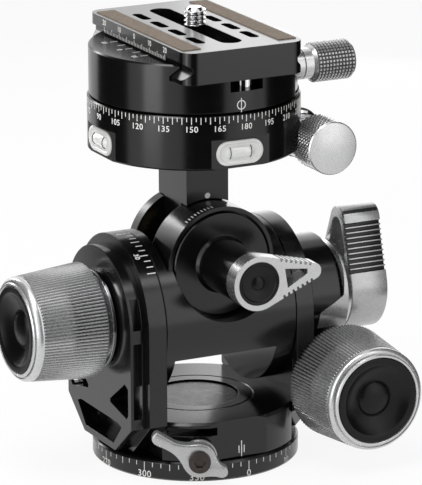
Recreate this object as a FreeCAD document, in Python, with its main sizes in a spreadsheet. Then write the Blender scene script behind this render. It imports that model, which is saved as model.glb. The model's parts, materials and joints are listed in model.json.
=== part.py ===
import FreeCAD
import Part
import Sketcher
import math
import os
import re
from FreeCAD import Placement, Rotation, Vector

# Geared tripod head: a panning base with a yoke, a tilt body on the X axis, a stem on the
# Y axis and a panning quick-release clamp.  Millimetres, +Z up, the front towards -Y.
# Origin: the middle of the base disc's underside.

os.makedirs("parts", exist_ok=True)
doc = FreeCAD.newDocument("geared_head")
sheet = doc.addObject("Spreadsheet::Sheet", "Sizes")

# name, value, what it measures
SIZES = [
    ("slip", 0.05, "radial clearance of a running fit"),
    ("seam", 0.3, "gap between faces that move past each other"),
    ("seat", 0.02, "clearance of a part seated in another"),
    # base
    ("base_r", 30.5, "base disc radius"),
    ("base_h", 5.7, "base disc height"),
    ("base_edge", 0.6, "base disc edge chamfer"),
    ("spigot_r", 15.0, "pan spigot radius"),
    ("spigot_h", 5.6, "pan spigot height above the disc"),
    ("neck_r", 9.0, "neck of the spigot"),
    ("neck_h", 4.7, "neck length above the spigot"),
    ("bush_r", 6.4, "threaded bush outer radius"),
    ("bush_h", 10.0, "threaded bush length"),
    ("tripod_thread_r", 3.97, "3/8-16 thread wall radius"),
    ("pan_cap_r", 12.6, "pan retaining cap radius"),
    ("pan_cap_h", 1.0, "pan retaining cap thickness"),
    # yoke
    ("yoke_r", 29.9, "yoke base radius"),
    ("yoke_h", 11.5, "yoke base height"),
    ("yoke_flat", 28.5, "front and rear flats of the yoke base"),
    ("yoke_bevel", 0.8, "yoke base top bevel"),
    ("yoke_recess", 1.8, "depth of the recess in the yoke base top"),
    ("groove_r", 17.0, "ring groove in the yoke base's top"),
    ("groove_w", 0.7, "width of that groove"),
    ("slit_w", 13.0, "clamp slit width in the yoke base front"),
    ("slit_h", 2.4, "clamp slit height"),
    ("slit_deep", 7.0, "clamp slit depth"),
    ("slit_off", 13.5, "clamp slit centre to the left"),
    ("slit_z", 13.6, "underside of the clamp slit"),
    ("tilt_z", 45.0, "height of the X tilt axis"),
    ("cheek_r", 24.5, "cheek and tilt body radius"),
    ("cheek_in", 21.2, "inner face of both cheeks from the middle plane"),
    ("cheek_w", 5.6, "cheek thickness"),
    ("cheek_shoulder", 17.4, "height where the cheek starts to taper"),
    ("cheek_foot", 7.0, "height of the cheek's foot"),
    ("cheek_foot_half", 13.0, "half width of the cheek's foot"),
    ("frame_r", 21.6, "outer frame radius and half width"),
    ("frame_w", 4.6, "outer frame thickness"),
    ("frame_shoulder", 16.6, "height where the frame starts to taper"),
    ("frame_foot", 7.5, "height of the frame's foot"),
    ("frame_foot_half", 10.5, "half width of the frame's foot"),
    ("frame_rib", 1.9, "rib width of the truss"),
    ("frame_slot_w", 2.7, "width of the slots in the frame's edge"),
    ("frame_slot_deep", 2.6, "depth of the slots in the frame's edge"),
    ("truss_side_h", 9.2, "height of the truss's side pockets"),
    ("truss_side_in", 12.2, "depth of the side pockets' points"),
    ("truss_corner", 2.2, "corner cut of the truss's pockets"),
    ("truss_low_out", 4.6, "overhang of the low pocket past the foot"),
    ("cheek_screw_r", 1.75, "cheek screw radius"),
    ("cheek_screw_head", 3.0, "cheek screw head radius"),
    ("cheek_screw_y", 9.0, "cheek screws from the middle plane"),
    ("cheek_screw_z", 12.6, "height of the cheek screws"),
    ("cheek_screw_in", 7.0, "how far a cheek screw goes into the yoke base"),
    ("bush_wall", 1.5, "wall of a trunnion bush"),
    # tilt body
    ("rim_l", 3.2, "thickness of the tilt body's left rim"),
    ("rim_r", 5.6, "thickness of the tilt body's right rim"),
    ("keel", 9.0, "depth of the tilt body below its axis between the rims"),
    ("barrel_r", 17.0, "roll barrel radius"),
    ("barrel_front", 17.6, "front end of the roll barrel from the X axis"),
    ("barrel_rear", 10.0, "rear end of the roll barrel from the X axis"),
    ("slot_front", 5.3, "front wall of the stem slot from the X axis"),
    ("slot_rear", 6.3, "rear wall of the stem slot from the X axis"),
    ("trunnion_r", 11.0, "trunnion radius"),
    # worm drives
    ("gear_module", 0.5, "module of both worm drives"),
    ("roll_teeth", 48, "teeth of the roll wheel"),
    ("roll_worm_r", 4.8, "pitch radius of the roll worm"),
    ("roll_wheel_w", 4.6, "face width of the roll wheel"),
    ("tilt_teeth", 60, "teeth of the tilt wheel"),
    ("tilt_worm_r", 7.5, "pitch radius of the tilt worm"),
    ("tilt_wheel_w", 5.0, "face width of the tilt wheel"),
    ("shaft_r", 2.5, "worm shaft radius"),
    ("hub_r", 7.5, "seat of the tilt wheel"),
    ("tail_len", 6.0, "plain end of a worm shaft"),
    ("worm_len", 17.0, "threaded length of a worm"),
    # knobs
    ("knob_len", 23.0, "length of a drive knob"),
    ("knob_back_r", 17.2, "drive knob radius at the back"),
    ("knob_front_r", 15.2, "drive knob radius at the front"),
    ("knob_round", 1.2, "rounding of the drive knob's front edge"),
    ("knob_edge", 0.6, "edge at the back of a knob"),
    ("knob_bore", 11.5, "depth of the shaft's bore in a knob"),
    ("knob_cap_r", 13.2, "rubber cap radius"),
    ("knob_cap_deep", 2.2, "depth of the recess for the cap"),
    ("cap_lip", 1.2, "width of a rubber cap's rounded rim"),
    ("cap_proud", 0.2, "how far that rim stands proud"),
    ("cap_dish", 1.0, "depth of a cap's dish"),
    ("cap_ring_r", 5.4, "ring in a drive knob's cap"),
    ("cap_ring_w", 0.6, "half width of that ring"),
    ("cap_ring_h", 0.4, "height of that ring"),
    ("cap_dome_r", 3.2, "dome in the middle of a drive knob's cap"),
    ("small_ring_r", 3.6, "ring in the triangular lever's cap"),
    ("small_dome_r", 1.7, "dome in the middle of that cap"),
    ("knob_gap", 3.9, "gap behind the drive knob for its ring"),
    ("knob_ring_r", 14.6, "chrome ring behind the drive knob"),
    ("knob_ring_w", 2.4, "chrome ring thickness"),
    ("ring_edge", 0.8, "bevel of the chrome rings"),
    ("tilt_knob_x", 36.8, "tilt worm axis from the middle plane"),
    ("tilt_knob_y", 22.3, "back of the tilt knob in front of the X axis"),
    # tilt gearbox on the right
    ("box_r", 16.4, "gearbox radius round the X axis"),
    ("box_out", 42.0, "outer face of the gearbox"),
    ("box_wall", 2.0, "gearbox wall"),
    ("cover_top_r", 13.4, "outer face radius of the tapered gearbox cover"),
    ("box_half", 14.5, "half depth of the worm case"),
    ("case_front", 18.0, "front of the worm case"),
    ("case_r", 9.8, "worm case radius"),
    # wing lever
    ("wing_flange_r", 14.6, "wing flange radius"),
    ("wing_flange_w", 3.0, "wing flange thickness"),
    ("wing_r", 13.4, "wing lever hub radius"),
    ("wing_w", 12.6, "wing lever width"),
    ("wing_tip", 20.5, "centre of the wing lever's tip above the X axis"),
    ("wing_tip_r", 3.9, "wing lever tip rounding"),
    ("wing_lean", 2.6, "wing lever tip in front of the X axis"),
    ("wing_wall", 2.3, "wall round the wing lever's opening"),
    ("rod_r", 3.0, "release rod radius"),
    ("rib_pitch", 1.6, "spacing of the ribs on a lever"),
    ("rib_deep", 0.8, "depth between those ribs"),
    # roll axis parts
    ("roll_cap_r", 15.3, "front cap radius"),
    ("roll_cap_w", 3.0, "front cap thickness"),
    ("roll_bore_r", 15.8, "counterbore radius for the front cap"),
    ("roll_bore_deep", 2.6, "depth of the front cap's seat behind the barrel end"),
    ("boss_r", 7.8, "release boss radius"),
    ("boss_len", 18.4, "release boss length"),
    ("axle_r", 5.0, "roll axle radius"),
    ("rear_cap_w", 2.0, "rear cap thickness"),
    ("rear_bore_deep", 1.8, "depth of the rear cap's seat in front of the barrel end"),
    ("tri_r", 8.0, "triangular lever ring radius"),
    ("tri_w", 5.2, "triangular lever thickness"),
    ("tri_tip", 17.6, "triangular lever tip from the axis"),
    ("tri_tip_r", 2.4, "triangular lever tip radius"),
    ("tri_rise", 1.5, "rise of the triangular lever's tip above the axis"),
    ("tri_cap_r", 6.4, "triangular lever rubber cap radius"),
    ("tri_cap_deep", 1.6, "depth of the cap's recess"),
    # stem and pan unit
    ("stem_half", 6.75, "stem half width"),
    ("stem_front", 8.7, "stem front face from the X axis"),
    ("stem_rear", 9.8, "stem rear face from the X axis"),
    ("stem_hub_r", 9.0, "stem hub radius round the roll axle"),
    ("stem_plate", 2.6, "thickness of the stem's fork plates"),
    ("neck_front", 5.0, "front of the stem's neck in its slot"),
    ("neck_rear", 6.0, "rear of the stem's neck in its slot"),
    ("saddle_over", 2.0, "how far the neck runs up into the saddle"),
    ("housing_z", 93.5, "underside of the pan housing"),
    ("housing_r", 31.1, "pan housing radius"),
    ("housing_h", 15.8, "pan housing height"),
    ("flat_deep", 1.4, "depth of the flats for the spirit levels"),
    ("housing_flat_h", 8.8, "height of those flats"),
    ("post_r", 12.0, "pan post radius"),
    ("post_h", 5.0, "pan post height"),
    ("post_neck_r", 6.0, "pan post neck radius"),
    ("post_neck_h", 2.2, "pan post neck height"),
    ("retainer_r", 8.6, "pan retainer radius"),
    ("retainer_h", 1.5, "pan retainer thickness"),
    ("vial_len", 15.0, "spirit level length"),
    ("vial_h", 7.4, "spirit level height"),
    ("vial_deep", 3.2, "spirit level depth"),
    ("vial_proud", 0.5, "how far a spirit level stands proud"),
    ("vial_z", 98.0, "height of the spirit levels"),
    ("vial_x", 0.2, "front spirit level to the left of the middle"),
    ("vial_y", 0.8, "left spirit level behind the middle"),
    ("lock_x", 31.5, "pan lock screw from the middle plane"),
    ("lock_z", 94.6, "height of the pan lock screw"),
    ("lug_r", 7.4, "clamp lug radius"),
    ("lug_front", 5.0, "front of the clamp lug"),
    ("lug_rear", 8.0, "rear of the clamp lug"),
    ("lug_split", 1.6, "saw cut in the clamp lug"),
    ("split_y", 1.5, "saw cut behind the pan axis"),
    ("split_in", 23.0, "inner end of the saw cut"),
    ("lock_knob_r", 7.9, "pan lock knob radius"),
    ("lock_knob_w", 12.0, "pan lock knob length"),
    ("lock_screw_r", 2.0, "pan lock screw radius"),
    ("lock_washer_r", 7.0, "pan lock washer radius"),
    ("lock_washer_w", 4.3, "pan lock washer thickness"),
    ("lock_collar_r", 5.2, "collar behind the pan lock knob"),
    ("lock_collar_w", 5.6, "length of that collar"),
    ("lock_bore", 12.0, "depth of the screw's bore in the pan lock knob"),
    ("knob_bevel", 0.6, "bevel of the small knobs"),
    ("disc_r", 30.6, "upper disc radius"),
    ("disc_h", 14.7, "upper disc height"),
    ("disc_edge", 0.5, "edge bevel of the upper disc"),
    ("disc_web", 1.7, "web of the upper disc on the post"),
    # quick-release clamp
    ("plate_half", 19.05, "half width of the camera plate"),
    ("plate_len", 64.8, "camera plate length"),
    ("plate_h", 9.4, "camera plate thickness"),
    ("plate_y", 1.0, "middle of the plate in front of the pan axis"),
    ("plate_foot", 1.2, "height of the dovetail's foot"),
    ("vee_deep", 2.4, "depth of the dovetail groove"),
    ("vee_flat", 0.9, "flat at the bottom of the dovetail groove"),
    ("vee_top", 1.4, "height of the groove's upper flank"),
    ("vee_gap", 0.3, "clearance round the dovetail"),
    ("floor_drop", 0.3, "gap under the plate"),
    ("plate_corner", 4.0, "plate corner radius"),
    ("plate_slot_r", 3.4, "half width of the long slot"),
    ("plate_slot_len", 51.0, "long slot length"),
    ("small_slot_r", 1.5, "half width of the small slots"),
    ("small_slot_len", 8.8, "small slot length"),
    ("small_slot_x", 8.6, "small slots from the middle plane"),
    ("small_slot_pitch", 11.7, "small slot spacing"),
    ("grip_w", 5.6, "grip strip width"),
    ("grip_len", 57.0, "grip strip length"),
    ("grip_h", 0.8, "grip strip thickness"),
    ("grip_in", 1.1, "grip strip from the plate's edge"),
    ("grip_proud", 0.3, "how far a grip strip stands proud"),
    ("small_slots", 4, "small slots on each side"),
    ("stud_r", 3.175, "camera screw radius"),
    ("stud_neck_r", 2.5, "neck of the camera screw in the plate"),
    ("stud_h", 5.6, "camera screw above the plate"),
    ("stud_head_r", 6.0, "camera screw head radius"),
    ("stud_head_h", 2.6, "camera screw head height"),
    ("counter_half", 6.3, "half width of the slot for the screw's head"),
    ("counter_deep", 3.2, "depth of that slot"),
    ("coin_w", 1.4, "coin slot width"),
    ("coin_deep", 1.2, "coin slot depth"),
    ("jaw_half", 20.6, "half length of the moving jaw"),
    ("jaw_drop", 9.0, "depth of the moving jaw below the plate's underside"),
    ("jaw_edge_r", 30.2, "outer radius of the moving jaw"),
    ("clamp_y", 6.0, "clamp screw in front of the pan axis"),
    ("clamp_drop", 4.4, "clamp screw below the plate's underside"),
    ("clamp_screw_r", 2.2, "clamp screw radius"),
    ("clamp_knob_r", 5.9, "clamp knob radius"),
    ("clamp_neck_r", 4.6, "clamp knob neck radius"),
    ("clamp_neck_w", 3.0, "clamp knob neck length"),
    ("clamp_knob_w", 13.4, "clamp knob length"),
    ("clamp_boss_r", 4.6, "boss of the jaw round the clamp screw"),
    ("clamp_boss_x", 31.3, "face of that boss"),
    ("clamp_tip", 13.5, "inner end of the clamp screw"),
    ("clamp_bore", 10.0, "depth of the screw's bore in the clamp knob"),
    ("guide_r", 1.6, "jaw guide pin radius"),
    ("guide_y", 13.5, "jaw guide pins from the pan axis"),
    ("guide_in", 11.0, "inner end of a guide pin"),
    ("guide_out", 24.5, "outer end of a guide pin"),
    ("pin_r", 2.9, "safety pin radius"),
    ("pin_x", 2.9, "safety pin from the middle plane"),
    ("pin_in", 7.9, "safety pin behind the plate's front end"),
    ("pin_travel", 1.1, "travel of the safety pin"),
    ("pin_low", 0.5, "top of the pin below the plate"),
    ("notch_half", 5.3, "half width of the safety pin's notch"),
    ("notch_off", 1.0, "middle of that notch to the left of the pin"),
    ("notch_deep", 3.6, "depth of that notch"),
    ("notch_in", 2.9, "notch behind the safety pin's middle"),
    # base lock lever
    ("lock_turn", 24.5, "angle of the base lock from the front, to the left"),
    ("brake_z", 8.0, "height of the base lock screw"),
    ("brake_r", 1.5, "base lock screw radius"),
    ("brake_hub_r", 5.6, "base lock hub radius"),
    ("brake_hub_at", 30.9, "back of the base lock hub from the pan axis"),
    ("brake_hub_w", 2.4, "base lock hub thickness"),
    ("lever_w", 2.4, "base lock lever thickness"),
    ("lever_r", 6.0, "base lock lever eye radius"),
    ("lever_arm", 12.4, "base lock lever arm to the left"),
    ("lever_rise", 6.4, "rise of the base lock lever's arm"),
    ("lever_tip_r", 2.4, "base lock lever arm end radius"),
    ("tail_arm", 7.2, "base lock lever tail to the right"),
    ("tail_fall", 3.6, "fall of the base lock lever's tail"),
    ("tail_r", 1.7, "base lock lever tail radius"),
    ("lever_screw_r", 3.2, "base lock lever screw head radius"),
    ("lever_screw_w", 1.4, "base lock lever screw head thickness"),
    ("shoe_w", 1.05, "brake shoe thickness"),
    ("brake_in", 16.2, "inner end of the base lock screw"),
    ("brake_out", 34.5, "outer end of the base lock screw"),
    ("hex_r", 1.7, "hexagon socket radius"),
]

VALUE = {}
for row, (name, number, note) in enumerate(SIZES, start=1):
    sheet.set(f"A{row}", name)
    sheet.set(f"B{row}", str(number))
    sheet.set(f"C{row}", note)
    sheet.setAlias(f"B{row}", name)
    VALUE[name] = float(number)
doc.recompute()

NAMES = re.compile(r"\b(" + "|".join(sorted(VALUE, key=len, reverse=True)) + r")\b")
nodes = {}

# levels and positions that follow from the sizes
YOKE_Z = "(base_h + seam)"
YOKE_TOP = "(base_h + seam + yoke_h)"
CHEEK_OUT = "(cheek_in + cheek_w)"
FRAME_OUT = "(cheek_in + cheek_w + frame_w)"
KNOB_BACK = "(cheek_in + cheek_w + frame_w + knob_gap)"
ROLL_Z = "(tilt_z + gear_module * roll_teeth / 2 + roll_worm_r)"
WORM_Z = "(tilt_z - gear_module * tilt_teeth / 2 - tilt_worm_r)"
HOUSING_TOP = "(housing_z + housing_h)"
DISC_Z = "(housing_z + housing_h + seam)"
DISC_TOP = "(housing_z + housing_h + seam + disc_h)"
PLATE_Z = "(housing_z + housing_h + seam + disc_h - plate_foot - vee_deep - vee_flat)"
PIN_Y = "(plate_y + plate_len / 2 - pin_in)"
HOUSING_FLAT = "(housing_r - flat_deep)"
FLOOR_Z = "(housing_z + housing_h + seam + disc_h - plate_foot - vee_deep - vee_flat - floor_drop)"


def formula(text):
    """A formula of size names, as the sheet knows them."""
    return NAMES.sub(r"Sizes.\1", text)


def bind(item, prop, text):
    item.setExpression(prop, formula(text))


def put(item, at, turn=None):
    """Place an object at three formulas, with a fixed rotation."""
    item.Placement = Placement(Vector(0, 0, 0), turn or Rotation())
    for axis, text in zip("xyz", at):
        if text != "0":
            bind(item, f"Placement.Base.{axis}", text)


TURN = {
    "x": Rotation(Vector(0, 1, 0), 90),
    "y": Rotation(Vector(1, 0, 0), -90),
    "z": Rotation(),
}


def rod(label, radius, length, axis, at):
    """A cylinder that starts at a point and runs along +x, +y or +z."""
    item = doc.addObject("Part::Cylinder", label)
    bind(item, "Radius", radius)
    bind(item, "Height", length)
    put(item, at, TURN[axis])
    return item


def block(label, size, at):
    """A box from its low corner."""
    item = doc.addObject("Part::Box", label)
    for prop, text in zip(("Length", "Width", "Height"), size):
        bind(item, prop, text)
    put(item, at)
    return item


def cut(label, base, tools):
    item = doc.addObject("Part::Cut", label)
    item.Base = base
    item.Tool = tools[0] if len(tools) == 1 else fuse(label + "_cutters", tools)
    item.Refine = True
    return item


def fuse(label, shapes):
    item = doc.addObject("Part::MultiFuse", label)
    item.Shapes = shapes
    item.Refine = True
    return item


def common(label, shapes):
    item = doc.addObject("Part::MultiCommon", label)
    item.Shapes = shapes
    item.Refine = True
    return item


def node(label, item):
    """Name the finished piece."""
    item.Label = label
    nodes[label] = item
    return item


def plane_of(body, role):
    return [face for face in body.Origin.OriginFeatures if face.Role == role][0]


def polygon(sketch, points):
    """Lines through points, each held to the origin by two bound distances."""
    first = sketch.GeometryCount
    count = len(points)
    reach = VALUE["neck_r"]
    for i in range(count):
        a = math.tau * i / count
        b = math.tau * (i + 1) / count
        start = Vector(reach * math.cos(a), reach * math.sin(a), 0)
        end = Vector(reach * math.cos(b), reach * math.sin(b), 0)
        sketch.addGeometry(Part.LineSegment(start, end), False)
    for i in range(count):
        here = first + i
        after = first + (i + 1) % count
        sketch.addConstraint(Sketcher.Constraint("Coincident", here, 2, after, 1))
    for i, (across, up) in enumerate(points):
        for kind, text in (("DistanceX", across), ("DistanceY", up)):
            corner = getattr(sketch.Geometry[first + i].StartPoint, kind[-1].lower())
            rule = Sketcher.Constraint(kind, -1, 1, first + i, 1, corner)
            index = sketch.addConstraint(rule)
            bind(sketch, f"Constraints[{index}]", text)


def circle(sketch, centre, radius):
    """A circle with a bound centre and radius."""
    index = sketch.addGeometry(Part.Circle(Vector(1, 1, 0), Vector(0, 0, 1), VALUE["shaft_r"]), False)
    for kind, text in (("DistanceX", centre[0]), ("DistanceY", centre[1])):
        rule = sketch.addConstraint(Sketcher.Constraint(kind, -1, 1, index, 3, 1.0))
        bind(sketch, f"Constraints[{rule}]", text)
    rule = sketch.addConstraint(Sketcher.Constraint("Radius", index, VALUE["shaft_r"]))
    bind(sketch, f"Constraints[{rule}]", radius)


def sketch_in(body, role, start="0"):
    """A sketch on one of the body's own planes, moved along the plane's normal."""
    item = body.newObject("Sketcher::SketchObject", body.Name + "_sketch")
    item.AttachmentSupport = (plane_of(body, role), "")
    item.MapMode = "FlatFace"
    if start != "0":
        bind(item, "AttachmentOffset.Base.z", start)
    return item


AXIS_PLANE = {"x": ("XZ_Plane", "H_Axis"), "y": ("XY_Plane", "V_Axis"), "z": ("XZ_Plane", "V_Axis")}


def turned(label, axis, points, at=("0", "0", "0")):
    """A body turned about an axis from (radius, distance along the axis) points."""
    body = doc.addObject("PartDesign::Body", label)
    role, about = AXIS_PLANE[axis]
    profile = sketch_in(body, role)
    polygon(profile, [(b, a) if axis == "x" else (a, b) for a, b in points])
    turn = body.newObject("PartDesign::Revolution", label + "_turn")
    turn.Profile = profile
    turn.ReferenceAxis = (profile, [about])
    turn.Angle = 360
    profile.Visibility = False
    put(body, at)
    return body


def milled(label, role, outlines, start, length, at=("0", "0", "0")):
    """A body padded from outlines: point lists, or (centre, radius) for circles."""
    body = doc.addObject("PartDesign::Body", label)
    profile = sketch_in(body, role, start)
    draw(profile, outlines)
    pad = body.newObject("PartDesign::Pad", label + "_pad")
    pad.Profile = profile
    bind(pad, "Length", length)
    put(body, at)
    return body


def draw(profile, outlines):
    for outline in outlines:
        if isinstance(outline[1], str):
            circle(profile, outline[0], outline[1])
        else:
            polygon(profile, outline)


def pocket(body, role, outlines, start, length):
    """A pocket that cuts along the plane's normal from its start."""
    profile = sketch_in(body, role, start)
    draw(profile, outlines)
    item = body.newObject("PartDesign::Pocket", body.Name + "_pocket")
    item.Profile = profile
    bind(item, "Length", length)
    item.Reversed = True
    return item


def solid_node(label, shape):
    """A piece made with Part's own functions from the sheet's numbers."""
    item = doc.addObject("Part::Feature", label)
    item.Shape = shape
    return node(label, item)


def size(text):
    """The number in a cell of the sheet."""
    return float(sheet.get(text))


def level(text):
    """The number that a chain of added and subtracted cells gives."""
    total = 0.0
    sign = 1.0
    for word in text.strip("()").split():
        if word in "+-":
            sign = 1.0 if word == "+" else -1.0
        else:
            total += sign * size(word)
    return total


def tapered_link(first, first_r, second, second_r, thick):
    """Two discs and the tangents between them, standing on the XY plane."""
    dx = second[0] - first[0]
    dy = second[1] - first[1]
    reach = math.hypot(dx, dy)
    along = math.atan2(dy, dx)
    lean = math.acos((first_r - second_r) / reach)

    def rim(centre, radius, angle):
        return Vector(centre[0] + radius * math.cos(angle), centre[1] + radius * math.sin(angle), 0)

    a = rim(first, first_r, along + lean)
    b = rim(second, second_r, along + lean)
    c = rim(second, second_r, along - lean)
    d = rim(first, first_r, along - lean)
    edges = [
        Part.LineSegment(a, b),
        Part.Arc(b, rim(second, second_r, along), c),
        Part.LineSegment(c, d),
        Part.Arc(d, rim(first, first_r, along + math.pi), a),
    ]
    face = Part.Face(Part.Wire([edge.toShape() for edge in edges]))
    return face.extrude(Vector(0, 0, thick))


def prism(points, thick):
    """A straight-sided prism on the XY plane."""
    wire = Part.makePolygon([Vector(x, y, 0) for x, y in points + points[:1]])
    return Part.Face(wire).extrude(Vector(0, 0, thick))


# ---------------------------------------------------------------- base

base_blank = turned("base_blank", "z", [
    ("bush_r + seat", "0"),
    ("base_r - base_edge", "0"),
    ("base_r", "base_edge"),
    ("base_r", "base_h - base_edge"),
    ("base_r - base_edge", "base_h"),
    ("spigot_r - slip", "base_h"),
    ("spigot_r - slip", "base_h + spigot_h"),
    ("neck_r - slip", "base_h + spigot_h"),
    ("neck_r - slip", "base_h + spigot_h + neck_h"),
    ("0", "base_h + spigot_h + neck_h"),
    ("0", "bush_h"),
    ("bush_r + seat", "bush_h"),
])
node("base_disc", base_blank)

bush = turned("bush_blank", "z", [
    ("tripod_thread_r", "0"),
    ("bush_r", "0"),
    ("bush_r", "bush_h"),
    ("tripod_thread_r", "bush_h"),
])
node("tripod_bush", bush)

CAP_Z = "(base_h + spigot_h + neck_h)"
pan_cap = turned("pan_cap_blank", "z", [
    ("0", "0"),
    ("pan_cap_r", "0"),
    ("pan_cap_r", "pan_cap_h - seam"),
    ("pan_cap_r - seam", "pan_cap_h"),
    ("0", "pan_cap_h"),
], at=("0", "0", CAP_Z))
node("pan_cap", pan_cap)

# ---------------------------------------------------------------- yoke

# round base with front and rear flats, flat sides for the cheeks
yoke_round = turned("yoke_round", "z", [
    ("spigot_r", "0"),
    ("yoke_r", "0"),
    ("yoke_r", "yoke_h - yoke_bevel"),
    ("yoke_r - yoke_bevel", "yoke_h"),
    ("pan_cap_r + seam", "yoke_h"),
    ("pan_cap_r + seam", "yoke_h - yoke_recess"),
    ("neck_r", "yoke_h - yoke_recess"),
    ("neck_r", "spigot_h"),
    ("spigot_r", "spigot_h"),
], at=("0", "0", YOKE_Z))
yoke_bounds = block(
    "yoke_bounds",
    ("2 * cheek_in", "2 * yoke_flat", "yoke_h"),
    ("-cheek_in", "-yoke_flat", YOKE_Z),
)
yoke_trim = common("yoke_trim", [yoke_round, yoke_bounds])
clamp_slit = block(
    "clamp_slit",
    ("slit_w", "slit_deep", "slit_h"),
    ("-slit_off - slit_w / 2", "-yoke_flat", "slit_z"),
)
brake_bore = rod("brake_bore", "brake_r + slip", "yoke_r", "y", ("0", "0", "brake_z"))
brake_bore.Placement.Rotation = Rotation(Vector(0, 0, 1), 180 - size("lock_turn")).multiply(TURN["y"])
groove_cut = turned("groove_cut", "z", [
    ("groove_r", "-groove_w / 2"),
    ("groove_r + groove_w", "groove_w / 2"),
    ("groove_r - groove_w", "groove_w / 2"),
], at=("0", "0", YOKE_TOP))
cheek_bores = []
for side, name in ((-1, "left"), (1, "right")):
    for end in (-1, 1):
        bore = rod(
            f"{name}_tap_{end + 1}",
            "cheek_screw_r + seat",
            "cheek_screw_in + seam",
            "x",
            (
                "cheek_in - cheek_screw_in - seam" if side > 0 else "-cheek_in",
                f"{end} * cheek_screw_y",
                "cheek_screw_z",
            ),
        )
        cheek_bores.append(bore)
yoke_base = cut("yoke_cut", yoke_trim, [clamp_slit, brake_bore, groove_cut] + cheek_bores)
node("yoke_base", yoke_base)


def shield(radius, shoulder, foot, foot_half):
    """Outline of a cheek from the front shoulder round the foot; local z from the X axis."""
    return [
        (f"-{radius}", "0"),
        (f"-{radius}", f"{shoulder} - tilt_z"),
        (f"-{foot_half}", f"{foot} - tilt_z"),
        (foot_half, f"{foot} - tilt_z"),
        (radius, f"{shoulder} - tilt_z"),
        (radius, "0"),
    ]


def cheek(label, start, thick, radius, shoulder, foot, foot_half, bore):
    """A plate with a round top about the X axis, a tapered foot and a bore."""
    low = milled(label + "_low", "YZ_Plane", [shield(radius, shoulder, foot, foot_half)],
                 start, thick, at=("0", "0", "tilt_z"))
    disc = rod(label + "_top", radius, thick, "x", (start, "0", "tilt_z"))
    hole = rod(label + "_bore", bore, thick, "x", (start, "0", "tilt_z"))
    return fuse(label + "_blank", [low, disc]), hole


BUSH_OUT = "(trunnion_r + slip + bush_wall)"
left_blank, left_hole = cheek("left_cheek", "-" + CHEEK_OUT, "cheek_w", "cheek_r",
                              "cheek_shoulder", "cheek_foot", "cheek_foot_half",
                              BUSH_OUT + " + seat")
left_screw_holes = []
right_screw_holes = []
for end in (-1, 1):
    left_screw_holes.append(rod(f"left_hole_{end + 1}", "cheek_screw_r + seat", "cheek_w", "x",
                                ("-" + CHEEK_OUT, f"{end} * cheek_screw_y", "cheek_screw_z")))
    right_screw_holes.append(rod(f"right_hole_{end + 1}", "cheek_screw_r + seat", "cheek_w", "x",
                                 ("cheek_in", f"{end} * cheek_screw_y", "cheek_screw_z")))
node("left_cheek", cut("left_cheek_cut", left_blank, [left_hole] + left_screw_holes))

right_blank, right_hole = cheek("right_cheek", "cheek_in", "cheek_w", "cheek_r",
                                "cheek_shoulder", "cheek_foot", "cheek_foot_half",
                                BUSH_OUT + " + seat")
knob_room = rod("knob_room", "knob_back_r + 2 * seam", "cheek_r", "y",
                ("tilt_knob_x", "-cheek_r - tilt_knob_y + 2 * seam", WORM_Z))
ring_room = rod("ring_room", "knob_ring_r + seam", "cheek_r", "y",
                ("tilt_knob_x", "-cheek_r - case_front + seam", WORM_Z))
node("right_cheek", cut("right_cheek_cut", right_blank,
                        [right_hole, knob_room, ring_room] + right_screw_holes))

# outer frame of the left cheek: a plate lightened by a truss of pockets and edge slots
frame_blank, frame_hole = cheek("left_frame", "-" + FRAME_OUT, "frame_w", "frame_r",
                                "frame_shoulder", "frame_foot", "frame_foot_half",
                                "trunnion_r + slip")
RIB = "frame_rib"
truss_low = [
    ("-frame_foot_half + frame_rib / 2", "frame_foot + frame_rib - tilt_z"),
    ("frame_foot_half - frame_rib / 2", "frame_foot + frame_rib - tilt_z"),
    ("frame_foot_half + truss_low_out", "frame_shoulder - frame_rib / 2 - tilt_z"),
    ("frame_foot_half + truss_corner", "frame_shoulder - tilt_z"),
    ("-frame_foot_half - truss_corner", "frame_shoulder - tilt_z"),
    ("-frame_foot_half - truss_low_out", "frame_shoulder - frame_rib / 2 - tilt_z"),
]


def truss_side(sign):
    """The triangular pocket beside the long one."""
    side = "frame_r - frame_rib"
    low = "frame_shoulder + 2 * frame_rib"
    return [
        (f"{sign} * ({side})", f"{low} - tilt_z"),
        (f"{sign} * ({side})", f"{low} + truss_side_h - truss_corner / 2 - tilt_z"),
        (f"{sign} * ({side} - truss_corner)", f"{low} + truss_side_h - tilt_z"),
        (f"{sign} * ({side} - truss_side_in)", f"{low} + truss_corner - tilt_z"),
        (f"{sign} * ({side} - truss_side_in)", f"{low} + truss_corner / 2 - tilt_z"),
        (f"{sign} * ({side} - truss_corner / 2)", f"{low} - truss_corner / 2 - tilt_z"),
    ]


truss = milled("truss_cut", "YZ_Plane", [truss_low, truss_side(-1), truss_side(1)],
               "-" + FRAME_OUT, "frame_w", at=("0", "0", "tilt_z"))
edge_slots = []
for sign, end in ((-1, "front"), (1, "rear")):
    at_y = "-frame_r" if sign < 0 else "frame_r - frame_slot_deep"
    for low, high, tag in (("frame_shoulder + 3", "tilt_z - 2.6", "low"),
                           ("tilt_z + 1.4", "tilt_z + 12.0", "high")):
        edge_slots.append(block(
            f"edge_slot_{end}_{tag}",
            ("frame_slot_w", "frame_slot_deep", f"({high}) - ({low})"),
            (f"-{FRAME_OUT} + (frame_w - frame_slot_w) / 2", at_y, low),
        ))
node("left_frame", cut("left_frame_cut", frame_blank, [frame_hole, truss] + edge_slots))

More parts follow.
